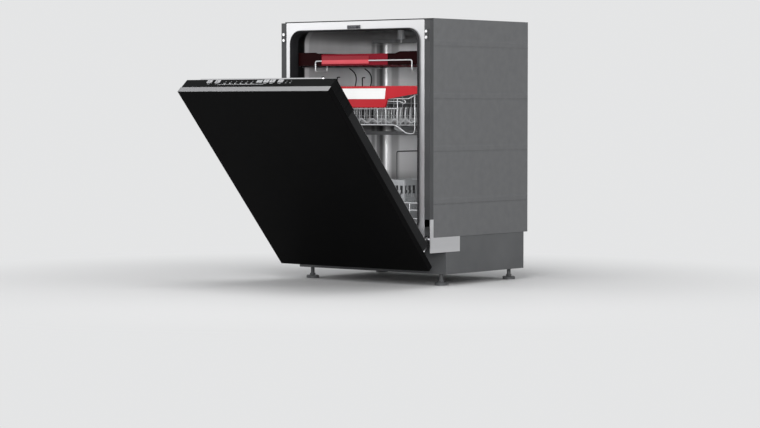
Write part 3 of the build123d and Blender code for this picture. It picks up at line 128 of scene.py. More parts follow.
def tones(tree, value, steps, first, last, curve="LINEAR"):
    """Greys along a 0 to 1 value. Each step is a place and its tone; first and last are the ends' tones."""
    node = tree.nodes.new("ShaderNodeValToRGB")
    node.color_ramp.interpolation = curve
    for place, tone in steps:
        node.color_ramp.elements.new(place).color = (tone, tone, tone, 1)
    node.color_ramp.elements[0].color = (first, first, first, 1)
    node.color_ramp.elements[-1].color = (last, last, last, 1)
    tree.links.new(value, node.inputs["Fac"])
    return node.outputs["Color"]


def blend(tree, share, under, over, kind="MIX"):
    """A colour laid over another by a share. The share and the upper colour are fixed or come from a node."""
    node = tree.nodes.new("ShaderNodeMix")
    node.data_type, node.blend_type = "RGBA", kind
    for value, name in ((share, "Factor"), (over, "B")):
        if isinstance(value, (float, tuple)):
            node.inputs[name].default_value = value
        else:
            tree.links.new(value, node.inputs[name])
    tree.links.new(under, node.inputs["A"])
    return node.outputs["Result"]


def dress(material, *names):
    """Gives CAD nodes their finish."""
    for name in names:
        for place in nodes[name].material_slots:
            place.material = material


tub_steel = finish("brushed_tub_steel", (0.80, 0.80, 0.81), (0.88, 0.88, 0.89), 0.36, 900.0, metallic=0.35,
                   specular=0.2, stretch=(1, 1, 0.02), mottle=14.0, bump=0.10)
frame_steel = finish("bright_frame_steel", (0.54, 0.54, 0.55), (0.60, 0.60, 0.61), 0.36, 1200.0, metallic=0.9,
                     stretch=(0.03, 1, 1), mottle=10.0, bump=0.06)
tree, shader, axes = surface(tub_steel)
# Painted reflection and highlight behind the mouth: dark where the gasket is mirrored, bright on the bead.
painted_mouth_reflection = tones(tree, work(tree, "MULTIPLY", axes["Y"], 2.0),
                    [(2 * y, tone) for y, tone in ((0.060, 0.01), (0.068, 0.03), (0.073, 1.0), (0.088, 1.0),
                                                   (0.094, 0.75), (0.14, 0.90))], 0.01, 0.95)
# Painted reflections: dark and light bands in the rounded rear corners, kept below the ceiling.
CORNER_START, CORNER_END = 0.12, 0.30
corner = stretched(tree, work(tree, "SUBTRACT", axes["Y"], work(tree, "ABSOLUTE", axes["X"])),
                   CORNER_START, CORNER_END)
painted_reflection_tones = ((0.140, 1.0), (0.148, 0.50), (0.158, 0.50), (0.163, 0.85), (0.169, 0.85), (0.174, 0.45),
                (0.184, 0.40), (0.188, 0.22), (0.199, 0.20), (0.206, 0.70), (0.222, 1.0), (0.238, 1.0),
                (0.246, 0.62), (0.268, 0.62), (0.278, 1.0))
painted_corner_reflections = tones(tree, corner, [((place - CORNER_START) / (CORNER_END - CORNER_START), tone)
                               for place, tone in painted_reflection_tones], 1.0, 1.0)
# Painted shade by height: darker behind the baskets and under the ceiling.
painted_storey_shade = tones(tree, axes["Z"], ((0.22, 0.35), (0.30, 0.40), (0.34, 0.80), (0.455, 1.0), (0.475, 0.22),
                                  (0.585, 0.22), (0.61, 1.0), (0.742, 1.0), (0.765, 0.50), (0.79, 0.30)),
                0.35, 0.30)
below_ceiling = stretched(tree, axes["Z"], 0.768, 0.748)
colour = shader.inputs["Base Color"].links[0].from_socket
for shade, share in ((painted_mouth_reflection, 1.0), (painted_corner_reflections, below_ceiling), (painted_storey_shade, 1.0)):
    colour = blend(tree, share, colour, shade, "MULTIPLY")
tree.links.new(colour, shader.inputs["Base Color"])
dress(tub_steel, "tub_shell")
floor_steel = finish("brushed_floor_steel", (0.62, 0.62, 0.63), (0.70, 0.70, 0.71), 0.36, 900.0, metallic=0.9,
                     stretch=(0.02, 1, 1), mottle=14.0, bump=0.10)
dress(floor_steel, "tub_floor", "filter_plate")
dress(frame_steel, "front_frame")
dress(finish("strike_steel", (0.02, 0.02, 0.022), (0.10, 0.10, 0.11), 0.35, 700.0, metallic=0.7,
             mottle=60.0), "door_strike")

# Gasket. One length of black extruded rubber, bent round the mouth and pushed over the tub's lip, with a
# soft bulb that the shut door presses flat.
dress(finish("gasket_rubber", (0.010, 0.010, 0.011), (0.022, 0.022, 0.024), 0.55, 2500.0, specular=0.15,
             bump=0.25), "tub_gasket")

# Casing and side posts. Galvanised sheet sprayed dark grey, with shallow pressed beads in its finish; the
# posts are ribbed black mouldings with bright tabs and screws for fixing the machine to its neighbours.
casing_grey = finish("casing_grey", (0.086, 0.088, 0.091), (0.098, 0.100, 0.103), 0.42, 1400.0, specular=0.45,
                     mottle=40.0, bump=0.20)
tree, shader, axes = surface(casing_grey)
bead_rise = ((-0.012, 0.0), (-0.005, 1.0), (0.005, 1.0), (0.012, 0.0))
level_beads, upright_beads = (0.26, 0.42, 0.58, 0.74), (0.09, 0.235)
beads = []
for value, places in ((axes["Z"], level_beads), (work(tree, "ABSOLUTE", axes["X"]), upright_beads)):
    steps = [(place + step, tone) for place in places for step, tone in bead_rise]
    beads.append(tones(tree, value, steps, 0.0, 0.0, "EASE"))
swage = tree.nodes.new("ShaderNodeBump")
swage.inputs["Strength"].default_value = 1.0
swage.inputs["Distance"].default_value = 0.0025
tree.links.new(work(tree, "MAXIMUM", *beads), swage.inputs["Height"])
tree.links.new(tree.nodes["Bevel"].outputs["Normal"], swage.inputs["Normal"])
tree.links.new(swage.outputs["Normal"], tree.nodes["Bump"].inputs["Normal"])
dress(casing_grey, "outer_casing")
dress(finish("post_black", (0.030, 0.031, 0.033), (0.045, 0.046, 0.048), 0.50, 1800.0, specular=0.4),
      "side_posts")
dress(finish("screw_zinc", (0.55, 0.55, 0.56), (0.72, 0.72, 0.73), 0.26, 900.0, metallic=1.0), "case_screws")

# Base. A dark grey polypropylene tray on feet of the same stuff. The moulded sump hangs into it from the
# tub's floor, and the cast pumps and the white softener stand in it, fixed to the sump and the tray.
dress(finish("base_polypropylene", (0.060, 0.062, 0.065), (0.080, 0.082, 0.085), 0.55, 1600.0, bump=0.30),
      "base_tray", "foot_front_left", "foot_front_right", "foot_rear_left", "foot_rear_right")
dress(finish("grey_moulding", (0.30, 0.31, 0.32), (0.36, 0.37, 0.38), 0.45, 1500.0), "sump",
      "filter_cylinder", "feed_pipe", "float_cap", "rear_connectors", "basket_conduit")
dress(finish("pump_casting", (0.30, 0.30, 0.31), (0.42, 0.42, 0.43), 0.40, 600.0, metallic=0.8),
      "circulation_pump", "drain_pump")
dress(finish("white_moulding", (0.74, 0.74, 0.73), (0.80, 0.80, 0.79), 0.38, 1500.0, bump=0.08), "softener",
      "salt_cap", "height_levers", "handle_insert")

# Hinges and rails. Plain strips of zinc-plated and stainless steel, pressed to shape and riveted, so their
# brushing runs along them.
dress(finish("plated_strip", (0.50, 0.50, 0.51), (0.66, 0.66, 0.67), 0.30, 1000.0, metallic=1.0,
             stretch=(1, 0.05, 1), bump=0.04, rough_spread=0.03), "hinge_arms", "hinge_brackets",
      "basket_rails", "rail_slides", "tray_rails")

# Spray arms. Each is two mouldings of dark grey glass-filled plastic, welded into a hollow arm that turns on
# its hub.
dress(finish("arm_grey", (0.075, 0.077, 0.080), (0.100, 0.102, 0.105), 0.40, 1500.0), "lower_spray_arm",
      "mid_spray_arm", "ceiling_spray_arm")

# Furniture front. A black lacquered board whose narrow top edge is coloured a lighter grey. The edge is
# found by its height in the shut door, so the board's own metres are first turned back about the hinge.
HINGE_Y, HINGE_Z, DOOR_OPEN = 14.0, 146.0, 41.0
lacquer = finish("front_lacquer", (0.0016, 0.0016, 0.0017), (0.0022, 0.0022, 0.0023), 0.30, 900.0,
                 specular=0.02, mottle=3.0, bump=0.02, edge=0.0012, rough_spread=0.03)
tree = lacquer.node_tree
shader = tree.nodes["Principled BSDF"]
turned = tree.nodes.new("ShaderNodeVectorRotate")
turned.rotation_type = "X_AXIS"
turned.inputs["Center"].default_value = (0, HINGE_Y / 1000, HINGE_Z / 1000)
turned.inputs["Angle"].default_value = math.radians(-DOOR_OPEN)
tree.links.new(tree.nodes["Texture Coordinate"].outputs["Object"], turned.inputs["Vector"])
shut = tree.nodes.new("ShaderNodeSeparateXYZ")
tree.links.new(turned.outputs["Vector"], shut.inputs["Vector"])
# The top edge, found by its height in the shut door, is coloured a lighter grey.
on_edge = stretched(tree, shut.outputs["Z"], 0.8038, 0.8046)
top_edge_grey = (0.24, 0.24, 0.245, 1)
colour = blend(tree, on_edge, shader.inputs["Base Color"].links[0].from_socket, top_edge_grey)
tree.links.new(colour, shader.inputs["Base Color"])
dress(lacquer, "front_panel")

# Door. A painted steel tray carries the furniture front, and a stainless liner, brushed across its width,
# closes it on the tub's side.
dress(finish("door_paint", (0.006, 0.0062, 0.0066), (0.009, 0.0093, 0.0098), 0.42, 1300.0, specular=0.10),
      "door_outer")
liner_steel = finish("liner_steel", (0.62, 0.62, 0.63), (0.74, 0.74, 0.75), 0.28, 1000.0, metallic=1.0,
                     stretch=(0.03, 1, 1), mottle=12.0, bump=0.03, rough_spread=0.03)
dress(liner_steel, "door_liner")

# Control end of the door. A satin black moulding with five silver keys, a smoked display window with two
# figures, round lamps, and small printed marks: plain strokes laid on the shut door and turned open with it.


def opened(points):
    """Turns points of the shut door, in millimetres, about the hinge line to where the door stands open."""
    turn = math.radians(DOOR_OPEN)
    back, up = points[:, 1] - HINGE_Y, points[:, 2] - HINGE_Z
    return np.column_stack([points[:, 0], HINGE_Y + back * math.cos(turn) - up * math.sin(turn),
                            HINGE_Z + back * math.sin(turn) + up * math.cos(turn)])


def strokes(name, lines, half, top, rise=0.25):
    """Flat strokes with pointed ends: each is the hexagon p = a + t(b - a) + s n with (t, s) running through
    the two tips and four shoulders one half width in from them, lifted from top - 0.1 to top + rise."""
    lines = np.asarray(lines, float)
    a, b = lines[:, :2], lines[:, 2:]
    length = np.linalg.norm(b - a, axis=1)[:, None]
    along = (b - a) / length
    side = np.column_stack([-along[:, 1], along[:, 0]])
    outline = np.stack([a - along * half, a + side * half, b + side * half, b + along * half,
                        b - side * half, a - side * half], 1)
    count = len(lines)
    flat = outline.reshape(-1, 2)
    points = np.vstack([np.column_stack([flat, np.full(len(flat), top + rise)]),
                        np.column_stack([flat, np.full(len(flat), top - 0.1)])])
    first = 6 * np.arange(count)[:, None]
    ring, lower = first + np.arange(6), first + np.arange(6) + 6 * count
    faces = ring[:, ::-1].tolist() + lower.tolist()
    nxt = first + (np.arange(6) + 1) % 6
    faces += np.stack([ring, nxt, nxt + 6 * count, lower], -1).reshape(-1, 4).tolist()
    mesh = bpy.data.meshes.new(name)
    mesh.from_pydata((opened(points) / 1000.0).tolist(), [], faces)
    mesh.validate()
    thing = bpy.data.objects.new(name, mesh)
    bpy.context.scene.collection.objects.link(thing)
    return thing


def place_piece(thing, body, slot, material, *stands_for):
    """Dresses a new piece, ties it to the body it is fixed to, and hides the nodes it stands for."""
    thing.data.materials.append(material)
    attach(thing, body)
    if stands_for:
        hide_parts(*stands_for)


dress(finish("housing_satin", (0.0028, 0.0030, 0.0033), (0.0042, 0.0044, 0.0047), 0.40, 2000.0,
             specular=0.03), "control_housing", "latch_hook")
dress(finish("key_silver", (0.34, 0.34, 0.35), (0.42, 0.42, 0.43), 0.30, 2000.0, specular=0.5),
      "key_power", "key_program", "key_delay", "key_options", "key_start")
dress(finish("window_smoke", (0.16, 0.165, 0.17), (0.22, 0.225, 0.23), 0.15, 600.0, specular=0.5, bump=0.02),
      "display_window")
print_white = finish("printed_white", (0.52, 0.53, 0.54), (0.60, 0.61, 0.62), 0.45, 1500.0, bump=0.02,
                     edge=0.0)
print_black = finish("printed_black", (0.012, 0.012, 0.013), (0.020, 0.020, 0.021), 0.45, 1500.0, bump=0.02,
                     edge=0.0)
KEY_X = {"power_key": -194, "program_key": -161, "delay_key": 34, "options_key": 58, "start_key": 90}
KEY_Y, KEY_TOP, HOUSING_TOP, WINDOW_TOP = -18, 807.0, 805.0, 804.8
turn = np.radians(np.arange(30, 331, 30))
arc = 2.6 * np.column_stack([np.sin(turn), np.cos(turn)])
key_marks = {
    "power_key": np.vstack([np.hstack([arc[:-1], arc[1:]]), [(0, 0.6, 0, 3.4)]]),
    "program_key": [(-2.2, -2.4, 2.2, 0), (2.2, 0, -2.2, 2.4), (-2.2, 2.4, -2.2, -2.4)],
    "delay_key": [(-2.8, 0, 2.8, 0), (0, -2.6, 0, 2.6)],
    "options_key": [(-3, y, 3, y) for y in (-2, 0, 2)],
    "start_key": [(-2.4, -2.6, -2.4, 2.6), (-2.4, 2.6, 2.6, 0), (2.6, 0, -2.4, -2.6)],
}
for body, lines in key_marks.items():
    lines = np.asarray(lines, float) + np.array([KEY_X[body], KEY_Y, KEY_X[body], KEY_Y])
    mark = strokes(body + "_mark", lines, 0.35, KEY_TOP)
    place_piece(mark, body, "housing_black", print_black)
lamps = -128 + 21.5 * np.arange(6)
printed = [(-153, -31, 29, -31)]
for x in lamps:
    printed += [(x - 4, -25.5, x + 4, -25.5), (x - 2.5, -27.5, x + 2.5, -27.5)]
printed += [(x - 5.5, -28, x + 5.5, -28) for x in KEY_X.values()]
printed += [(x - 2.5, -25.5, x + 2.5, -25.5) for x in (114, 131)]
marks = strokes("control_marks", printed, 0.5, HOUSING_TOP)
place_piece(marks, "door", "white_plastic", print_white)
figures = []
for x in (0.5, 11.5):
    for y in (-22, -18, -14):
        figures.append((x - 2.2, y, x + 2.2, y))
    for side in (-2.9, 2.9):
        figures += [(x + side, -21.3, x + side, -18.7), (x + side, -17.3, x + side, -14.7)]
digits = strokes("display_figures", figures, 0.55, WINDOW_TOP)
place_piece(digits, "door", "white_plastic", print_white)

# Dispenser. Grey mouldings clipped into the liner: a body, and a flap over its powder cup. The cap of the
# rinse aid is red plastic, as the rim of the upper basket's handle is.
dress(finish("dispenser_grey", (0.28, 0.29, 0.30), (0.33, 0.34, 0.35), 0.42, 1500.0), "dispenser_body",
      "dispenser_lid")
red_plastic = finish("red_plastic", (0.37, 0.008, 0.015), (0.43, 0.011, 0.020), 0.32, 1700.0, specular=0.25,
                     bump=0.08)
dress(red_plastic, "rinse_cap", "basket_rim")

# Cutlery tray. Red moulding, painted nearly black as painted shade outside a brighter middle band, and a
# folded
# grip there: an upright lower face and an upper one that leans back over the tray's edge, painted darker as
# painted shade.
shaded_tray_red = finish("shaded_tray_red_plastic", (0.007, 0.0004, 0.0006), (0.010, 0.0006, 0.0009), 0.34, 1700.0,
                  specular=0.03, bump=0.08)
tree, shader, axes = surface(shaded_tray_red)
# Painted shade: the tray is nearly black outside the middle band, which keeps a deep red.
LIT_BAND_MIDDLE, LIT_BAND_HALF = -0.012, 0.133
in_lit_band = work(tree, "COMPARE", axes["X"], LIT_BAND_MIDDLE, LIT_BAND_HALF)
lit_band_red = (0.17, 0.010, 0.018, 1)
colour = blend(tree, in_lit_band, shader.inputs["Base Color"].links[0].from_socket, lit_band_red)
tree.links.new(colour, shader.inputs["Base Color"])
dress(shaded_tray_red, "cutlery_tray")


def skin(name, rows):
    """A surface through equal rows of points, in millimetres: each row is closed on itself, each point is
    joined to the one of its place in the next row, and the first and last rows are capped."""
    rows = np.asarray(rows, float)
    count, around = rows.shape[:2]
    r, c = np.arange(count - 1)[:, None], np.arange(around)[None, :]
    nxt = (c + 1) % around
    faces = np.stack([r * around + c, r * around + nxt, (r + 1) * around + nxt, (r + 1) * around + c], -1)
    faces = faces.reshape(-1, 4).tolist()
    faces += [np.arange(around)[::-1].tolist(), (np.arange(around) + (count - 1) * around).tolist()]
    mesh = bpy.data.meshes.new(name)
    mesh.from_pydata((rows.reshape(-1, 3) / 1000.0).tolist(), [], faces)
    mesh.validate()
    mesh.polygons.foreach_set("use_smooth", np.ones(len(mesh.polygons), bool))
    thing = bpy.data.objects.new(name, mesh)
    bpy.context.scene.collection.objects.link(thing)
    return thing


def rounded(corners, bend, steps=4):
    """A closed outline with each corner cut back by the bend and bridged by a quadratic curve."""
    corners = np.asarray(corners, float)
    before, after = np.roll(corners, 1, 0) - corners, np.roll(corners, -1, 0) - corners
    bend = np.broadcast_to(bend, len(corners))
    size_a, size_b = np.linalg.norm(before, axis=1), np.linalg.norm(after, axis=1)
    start = corners + before * (np.minimum(bend, 0.45 * size_a) / size_a)[:, None]
    end = corners + after * (np.minimum(bend, 0.45 * size_b) / size_b)[:, None]
    t = np.linspace(0, 1, steps)[None, :, None]
    curve = (1 - t) ** 2 * start[:, None] + 2 * t * (1 - t) * corners[:, None] + t ** 2 * end[:, None]
    return curve.reshape(-1, curve.shape[-1])


profile = rounded([(15.9, 680.4), (11.9, 680.4), (11.7, 692.2), (13.0, 693.2), (15.3, 704.6), (15.9, 705)],
                  [0.5, 1.4, 0.5, 0.5, 0.6, 0.3])
ends = ((-142.0, 0.55), (-141.2, 0.9), (-139.5, 1.0), (46.0, 1.0), (47.6, 0.9), (48.2, 0.55))
middle = profile.mean(0)
grip_rows = [np.column_stack([np.full(len(profile), x), middle + (profile - middle) * share])
             for x, share in ends]
grip = skin("tray_grip", grip_rows)
grip_red = finish("grip_red", (0.54, 0.072, 0.090), (0.60, 0.084, 0.104), 0.34, 1700.0, specular=0.15,
                  bump=0.08)
tree, shader, axes = surface(grip_red)
# Painted shade: the grip's upper face is darker than its lower one.
painted_shade_face = stretched(tree, axes["Z"], 0.6920, 0.6932)
painted_shade_red = (0.21, 0.010, 0.018, 1)
colour = blend(tree, painted_shade_face, shader.inputs["Base Color"].links[0].from_socket, painted_shade_red)
tree.links.new(colour, shader.inputs["Base Color"])
place_piece(grip, "tray", "grip_red", grip_red, "tray_handle")

# Upper basket. Round steel wire, bent and welded at every crossing, then dipped in silver grey nylon:
# cross wires with a wavy floor, long wires turned up at the rear, an open front with hooked rails, and four
# rows of tines. The cup shelf is black wire.


def bent(corners, bend, steps=5):
    """A path through the corners with each corner cut back by the bend and bridged by a quadratic curve,
    the corner itself being the curve's middle control point."""
    corners = np.asarray(corners, float)
    mid = corners[1:-1]
    before, after = corners[:-2] - mid, corners[2:] - mid
    cut_a = np.minimum(bend, 0.45 * np.linalg.norm(before, axis=1))[:, None]
    cut_b = np.minimum(bend, 0.45 * np.linalg.norm(after, axis=1))[:, None]
    start = mid + before / np.linalg.norm(before, axis=1)[:, None] * cut_a
    end = mid + after / np.linalg.norm(after, axis=1)[:, None] * cut_b
    t = np.linspace(0, 1, steps)[None, :, None]
    curve = (1 - t) ** 2 * start[:, None] + 2 * t * (1 - t) * mid[:, None] + t ** 2 * end[:, None]
    return np.vstack([corners[:1], curve.reshape(-1, 3), corners[-1:]])


def hoop(left, right, near, far, height, bend, steps=6):
    """A closed level rectangle of wire whose corners are quarter circles of the bend."""
    turn = np.linspace(0, math.pi / 2, steps)
    quarter = np.column_stack([np.cos(turn), np.sin(turn)]) * bend
    spin = np.array([[0, -1], [1, 0]])
    centres = [(right - bend, far - bend), (left + bend, far - bend), (left + bend, near + bend),
               (right - bend, near + bend)]
    flat = np.vstack([quarter @ np.linalg.matrix_power(spin.T, quarters) + centre
                      for quarters, centre in enumerate(centres)])
    return np.column_stack([flat, np.full(len(flat), height)])


def wires(name, runs, radius, sides=8):
    """Round wire along each run of points: at every point a ring of the radius, in the plane of the run's
    given normal and the sideways direction square to the path. Open ends close with a small dome."""
    all_points, all_faces, start = [], [], 0
    angle = np.linspace(0, 2 * math.pi, sides, endpoint=False)
    for points, normal, closed in runs:
        points = np.asarray(points, float)
        if not closed:
            tip_a, tip_b = points[0] - points[1], points[-1] - points[-2]
            tip_a, tip_b = tip_a / np.linalg.norm(tip_a), tip_b / np.linalg.norm(tip_b)
            points = np.vstack([points[0] + tip_a * radius * 0.7, points, points[-1] + tip_b * radius * 0.7])
        ahead = np.roll(points, -1, axis=0) - np.roll(points, 1, axis=0)
        if not closed:
            ahead[0], ahead[-1] = points[1] - points[0], points[-1] - points[-2]
        ahead /= np.linalg.norm(ahead, axis=1)[:, None]
        normal = np.asarray(normal, float)
        across = np.cross(ahead, normal)
        across /= np.linalg.norm(across, axis=1)[:, None]
        upward = np.cross(across, ahead)
        reach = np.full(len(points), radius)
        if not closed:
            reach[0] = reach[-1] = radius * 0.45
        ring = (points[:, None] + reach[:, None, None] * (np.cos(angle)[None, :, None] * across[:, None]
                                                         + np.sin(angle)[None, :, None] * upward[:, None]))
        count = len(points)
        row = np.arange(count if closed else count - 1)[:, None]
        col = np.arange(sides)[None, :]
        nxt, side = (row + 1) % count, (col + 1) % sides
        quad = np.stack([row * sides + col, row * sides + side, nxt * sides + side, nxt * sides + col], -1)
        all_points.append(ring.reshape(-1, 3))
        all_faces += (quad.reshape(-1, 4) + start).tolist()
        if not closed:
            all_faces.append((np.arange(sides)[::-1] + start).tolist())
            all_faces.append((np.arange(sides) + start + (count - 1) * sides).tolist())
        start += count * sides
    mesh = bpy.data.meshes.new(name)
    mesh.from_pydata((np.vstack(all_points) / 1000.0).tolist(), [], all_faces)
    mesh.validate()
    mesh.polygons.foreach_set("use_smooth", np.ones(len(mesh.polygons), bool))
    thing = bpy.data.objects.new(name, mesh)
    bpy.context.scene.collection.objects.link(thing)
    return thing


wire_coat = finish("silver_nylon", (0.48, 0.49, 0.50), (0.58, 0.59, 0.60), 0.34, 1500.0, metallic=0.35)
ALONG, ACROSS, LEVEL = (0, 1, 0), (1, 0, 0), (0, 0, 1)
HALF, NEAR, FAR, FLOOR, RIM, FRONT_RAIL, LOW_RAIL = 236.2, 19.8, 446.2, 491, 600, 572, 541.5
LONG_PITCH = 36.35
FRAME_WIRE, TINE_WIRE, SHELF_WIRE = 1.7, 1.5, 1.9


def mirrored(half):
    """A run across the front from its right half, which starts at the right: x changes sign on the left."""
    half = np.asarray(half, float)
    return np.vstack([half, half[::-1] * (-1, 1, 1)])


rack = []
waves = np.arange(-220, 221, 22)
floor_wave = np.column_stack([waves, np.zeros(len(waves)), FLOOR + 26 * (np.arange(len(waves)) % 2)])
for y in 19.75 + 47.4 * np.arange(1, 10):
    run = np.vstack([[(-HALF, 0, RIM), (-HALF, 0, FLOOR)], floor_wave, [(HALF, 0, FLOOR), (HALF, 0, RIM)]])
    rack.append((bent(run + (0, y, 0), 22, 3), ALONG, False))
for x in -HALF + LONG_PITCH * np.arange(1, 13):
    rack.append((bent([(x, NEAR, FLOOR), (x, FAR, FLOOR), (x, FAR, RIM)], 14), ACROSS, False))
for z in (518, 558):
    rack.append((bent([(-HALF, 40, z), (-HALF, FAR, z), (HALF, FAR, z), (HALF, 40, z)], 16), LEVEL, False))
rack.append((bent([(-200, NEAR, FRONT_RAIL), (-HALF, 60, RIM), (-HALF, FAR, RIM), (HALF, FAR, RIM),
                   (HALF, 60, RIM), (200, NEAR, FRONT_RAIL)], 16), LEVEL, False))
for x, z in ((157, FRONT_RAIL), (110, FRONT_RAIL), (78, LOW_RAIL)):
    rack += [([(side * x, NEAR, FLOOR), (side * x, NEAR, z)], ALONG, False) for side in (-1, 1)]
hooked_rail = mirrored([(180, 22, 568.5), (190.5, NEAR, 562), (183, NEAR, 556.5), (170, NEAR, 563),
                        (120, NEAR, 564)])
front_edge = mirrored([(224.5, NEAR, 586), (224.5, NEAR, 465), (194, NEAR, 465), (148, NEAR, 492)])
rack += [(bent(hooked_rail, 6), ALONG, False),
         ([(-200, NEAR, FRONT_RAIL), (200, NEAR, FRONT_RAIL)], ALONG, False),
         ([(-160.5, NEAR, LOW_RAIL), (160.5, NEAR, LOW_RAIL)], ALONG, False),
         (bent(front_edge, 14), ALONG, False)]
upper_frame = wires("upper_basket_frame", rack, FRAME_WIRE)
spikes = []
for column in (3, 5, 8, 10):
    x = -236.25 + column * LONG_PITCH
    for y in 70 + 24 * np.arange(14):
        spikes.append((bent([(x, y, 490), (x, y, 536), (x + 3, y, 545)], 12, 3), ALONG, False))
upper_tines = wires("upper_basket_tines", spikes, TINE_WIRE, 6)
place_piece(upper_frame, "upper_rack", "coated_wire", wire_coat, "upper_basket")
place_piece(upper_tines, "upper_rack", "coated_wire", wire_coat)
black_coat = finish("black_nylon", (0.010, 0.010, 0.011), (0.018, 0.018, 0.019), 0.40, 1500.0, specular=0.25)
SHELF_X, SHELF_Z = -231, 605
shelf = [([(SHELF_X, 100, SHELF_Z), (SHELF_X, 389, SHELF_Z)], LEVEL, False)]
for y in (280, 358):
    loop = [(SHELF_X, y, SHELF_Z), (-225, y + 2, 625), (-225, y + 3, 646), (-233, y, 661), (-245, y - 7, 671)]
    shelf.append((bent(loop, 12, 4), ALONG, False))
for y in (115, 194, 321):
    hook = [(SHELF_X, y, SHELF_Z), (SHELF_X, y, 642), (SHELF_X, y + 13, 642)]
    shelf.append((bent(hook, 4, 4), ACROSS, False))
cup_wires = wires("cup_shelf_wires", shelf, SHELF_WIRE)
place_piece(cup_wires, "cup_rack", "coated_wire", black_coat, "cup_shelf")

# Lower basket. The same nylon-dipped wire, heavier, with low sides, three hoops and two rows of plate tines,
# and a third row on a rod that folds flat.
HALF, NEAR, FAR, FLOOR, RIM, BACK_RIM, AXLE = 244, 22, 446, 192, 254, 298, 170
FRAME_WIRE, TINE_WIRE, ROD_WIRE = 2.0, 1.6, 1.7
deep = []
for y in NEAR + 46.9 * np.arange(10):
    run = [(-HALF, y, RIM), (-HALF, y, FLOOR), (HALF, y, FLOOR), (HALF, y, RIM)]
    deep.append((bent(run, 20), ALONG, False))
for x in -HALF + 40.67 * np.arange(1, 12):
    run = [(x, NEAR, RIM), (x, NEAR, FLOOR + 2), (x, FAR, FLOOR + 2), (x, FAR, BACK_RIM)]
    deep.append((bent(run, 14), ACROSS, False))
for z in (206, 232, RIM):
    deep.append((hoop(-HALF, HALF, NEAR, FAR, z, 18), LEVEL, True))
back = [(-HALF, FAR, RIM), (-HALF, FAR, BACK_RIM), (HALF, FAR, BACK_RIM), (HALF, FAR, RIM)]
deep.append((bent(back, 16), ALONG, False))
for y in (105, 395):
    for x in (-203.3, 203.3):
        stirrup = [(x, y - 14, FLOOR), (x, y - 7, AXLE - 4), (x, y + 7, AXLE - 4), (x, y + 14, FLOOR)]
        deep.append((bent(stirrup, 6), ACROSS, False))
        deep.append(([(x - 1, y, AXLE), (x + math.copysign(14, x), y, AXLE)], LEVEL, False))
lower_frame = wires("lower_basket_frame", deep, FRAME_WIRE)
place_piece(lower_frame, "lower_rack", "coated_wire", wire_coat, "lower_basket")
teeth = []
for y in (116.2, 210.4):
    for x in -210 + 24 * np.arange(10):
        teeth.append((bent([(x, y, FLOOR), (x, y, 264), (x, y + 4, 277)], 14, 3), ACROSS, False))
lower_tines = wires("lower_basket_tines", teeth, TINE_WIRE, 6)
place_piece(lower_tines, "lower_rack", "coated_wire", wire_coat)
ROD_Y, ROD_Z = 300, 198.5
folding = [([(-222, ROD_Y, ROD_Z), (30, ROD_Y, ROD_Z)], LEVEL, False)]
for x in -212 + 23.2 * np.arange(11):
    tine = [(x, ROD_Y, ROD_Z), (x, ROD_Y, 268), (x, ROD_Y + 3, 281)]
    folding.append((bent(tine, 14, 3), ACROSS, False))
fold_row = wires("folding_tine_row", folding, ROD_WIRE, 6)
place_piece(fold_row, "folding_tines", "coated_wire", wire_coat, "plate_tines")

# Bow of the cutlery tray, bail of the cutlery basket, and wheels. The bow is the baskets' coated wire; the
# bail and the wheels are plain grey mouldings.
dress(wire_coat, "tray_wire")
dress(finish("bail_grey", (0.045, 0.046, 0.048), (0.060, 0.061, 0.063), 0.40, 1500.0), "basket_bail")
dress(finish("wheel_grey", (0.26, 0.27, 0.28), (0.32, 0.33, 0.34), 0.45, 1500.0), "wheels_front",
      "wheels_rear")

# Cutlery basket. Light grey moulding with a row of upright slots under its rim, on all four sides. The slots
# are painted shade: dark places in the finish, one in the middle of each pitch, counted from the basket's
# corner.
basket_grey = finish("basket_grey", (0.30, 0.31, 0.32), (0.36, 0.37, 0.38), 0.42, 1500.0)
tree, shader, axes = surface(basket_grey)
to_slot = [work(tree, "PINGPONG", work(tree, "SUBTRACT", axes[axis], edge), pitch / 2)
           for axis, edge, pitch in (("X", 0.0545, 0.0190), ("Y", 0.0620, 0.0195))]
across = stretched(tree, work(tree, "MAXIMUM", *to_slot), 0.0052, 0.0060)
SLOT_HEIGHT, SLOT_HALF = 0.292, 0.0125
in_slot = work(tree, "MULTIPLY", across, work(tree, "COMPARE", axes["Z"], SLOT_HEIGHT, SLOT_HALF))
# Painted shade: the slots are dark colour in the finish, not openings.
slot_painted_shade = (0.012, 0.012, 0.013, 1)
colour = blend(tree, in_slot, shader.inputs["Base Color"].links[0].from_socket, slot_painted_shade)
tree.links.new(colour, shader.inputs["Base Color"])
dress(basket_grey, "cutlery_basket")

# Studio: a pale floor that keeps the object's shadow near it and fades into the backdrop further out, and
# soft light from the front, the left, the right and above.
BACKDROP = (0.78, 0.785, 0.79, 1)
floor_grid = np.array([(-30.0, -30.0, 0.0), (30.0, -30.0, 0.0), (30.0, 30.0, 0.0), (-30.0, 30.0, 0.0)])
floor_mesh = bpy.data.meshes.new("studio_floor")
floor_mesh.from_pydata(floor_grid.tolist(), [], [(0, 1, 2, 3)])
floor = bpy.data.objects.new("studio_floor", floor_mesh)
bpy.context.scene.collection.objects.link(floor)
floor_paint = finish("studio_floor", (0.66, 0.66, 0.66), (0.68, 0.68, 0.68), 0.6, 40.0, specular=0.05,
                     mottle=0.6, bump=0.0, edge=0.0)
tree = floor_paint.node_tree
far = tree.nodes.new("ShaderNodeVectorMath")
far.operation = "LENGTH"
tree.links.new(tree.nodes["Texture Coordinate"].outputs["Object"], far.inputs[0])
fade = tree.nodes.new("ShaderNodeMapRange")
fade.interpolation_type = "SMOOTHSTEP"
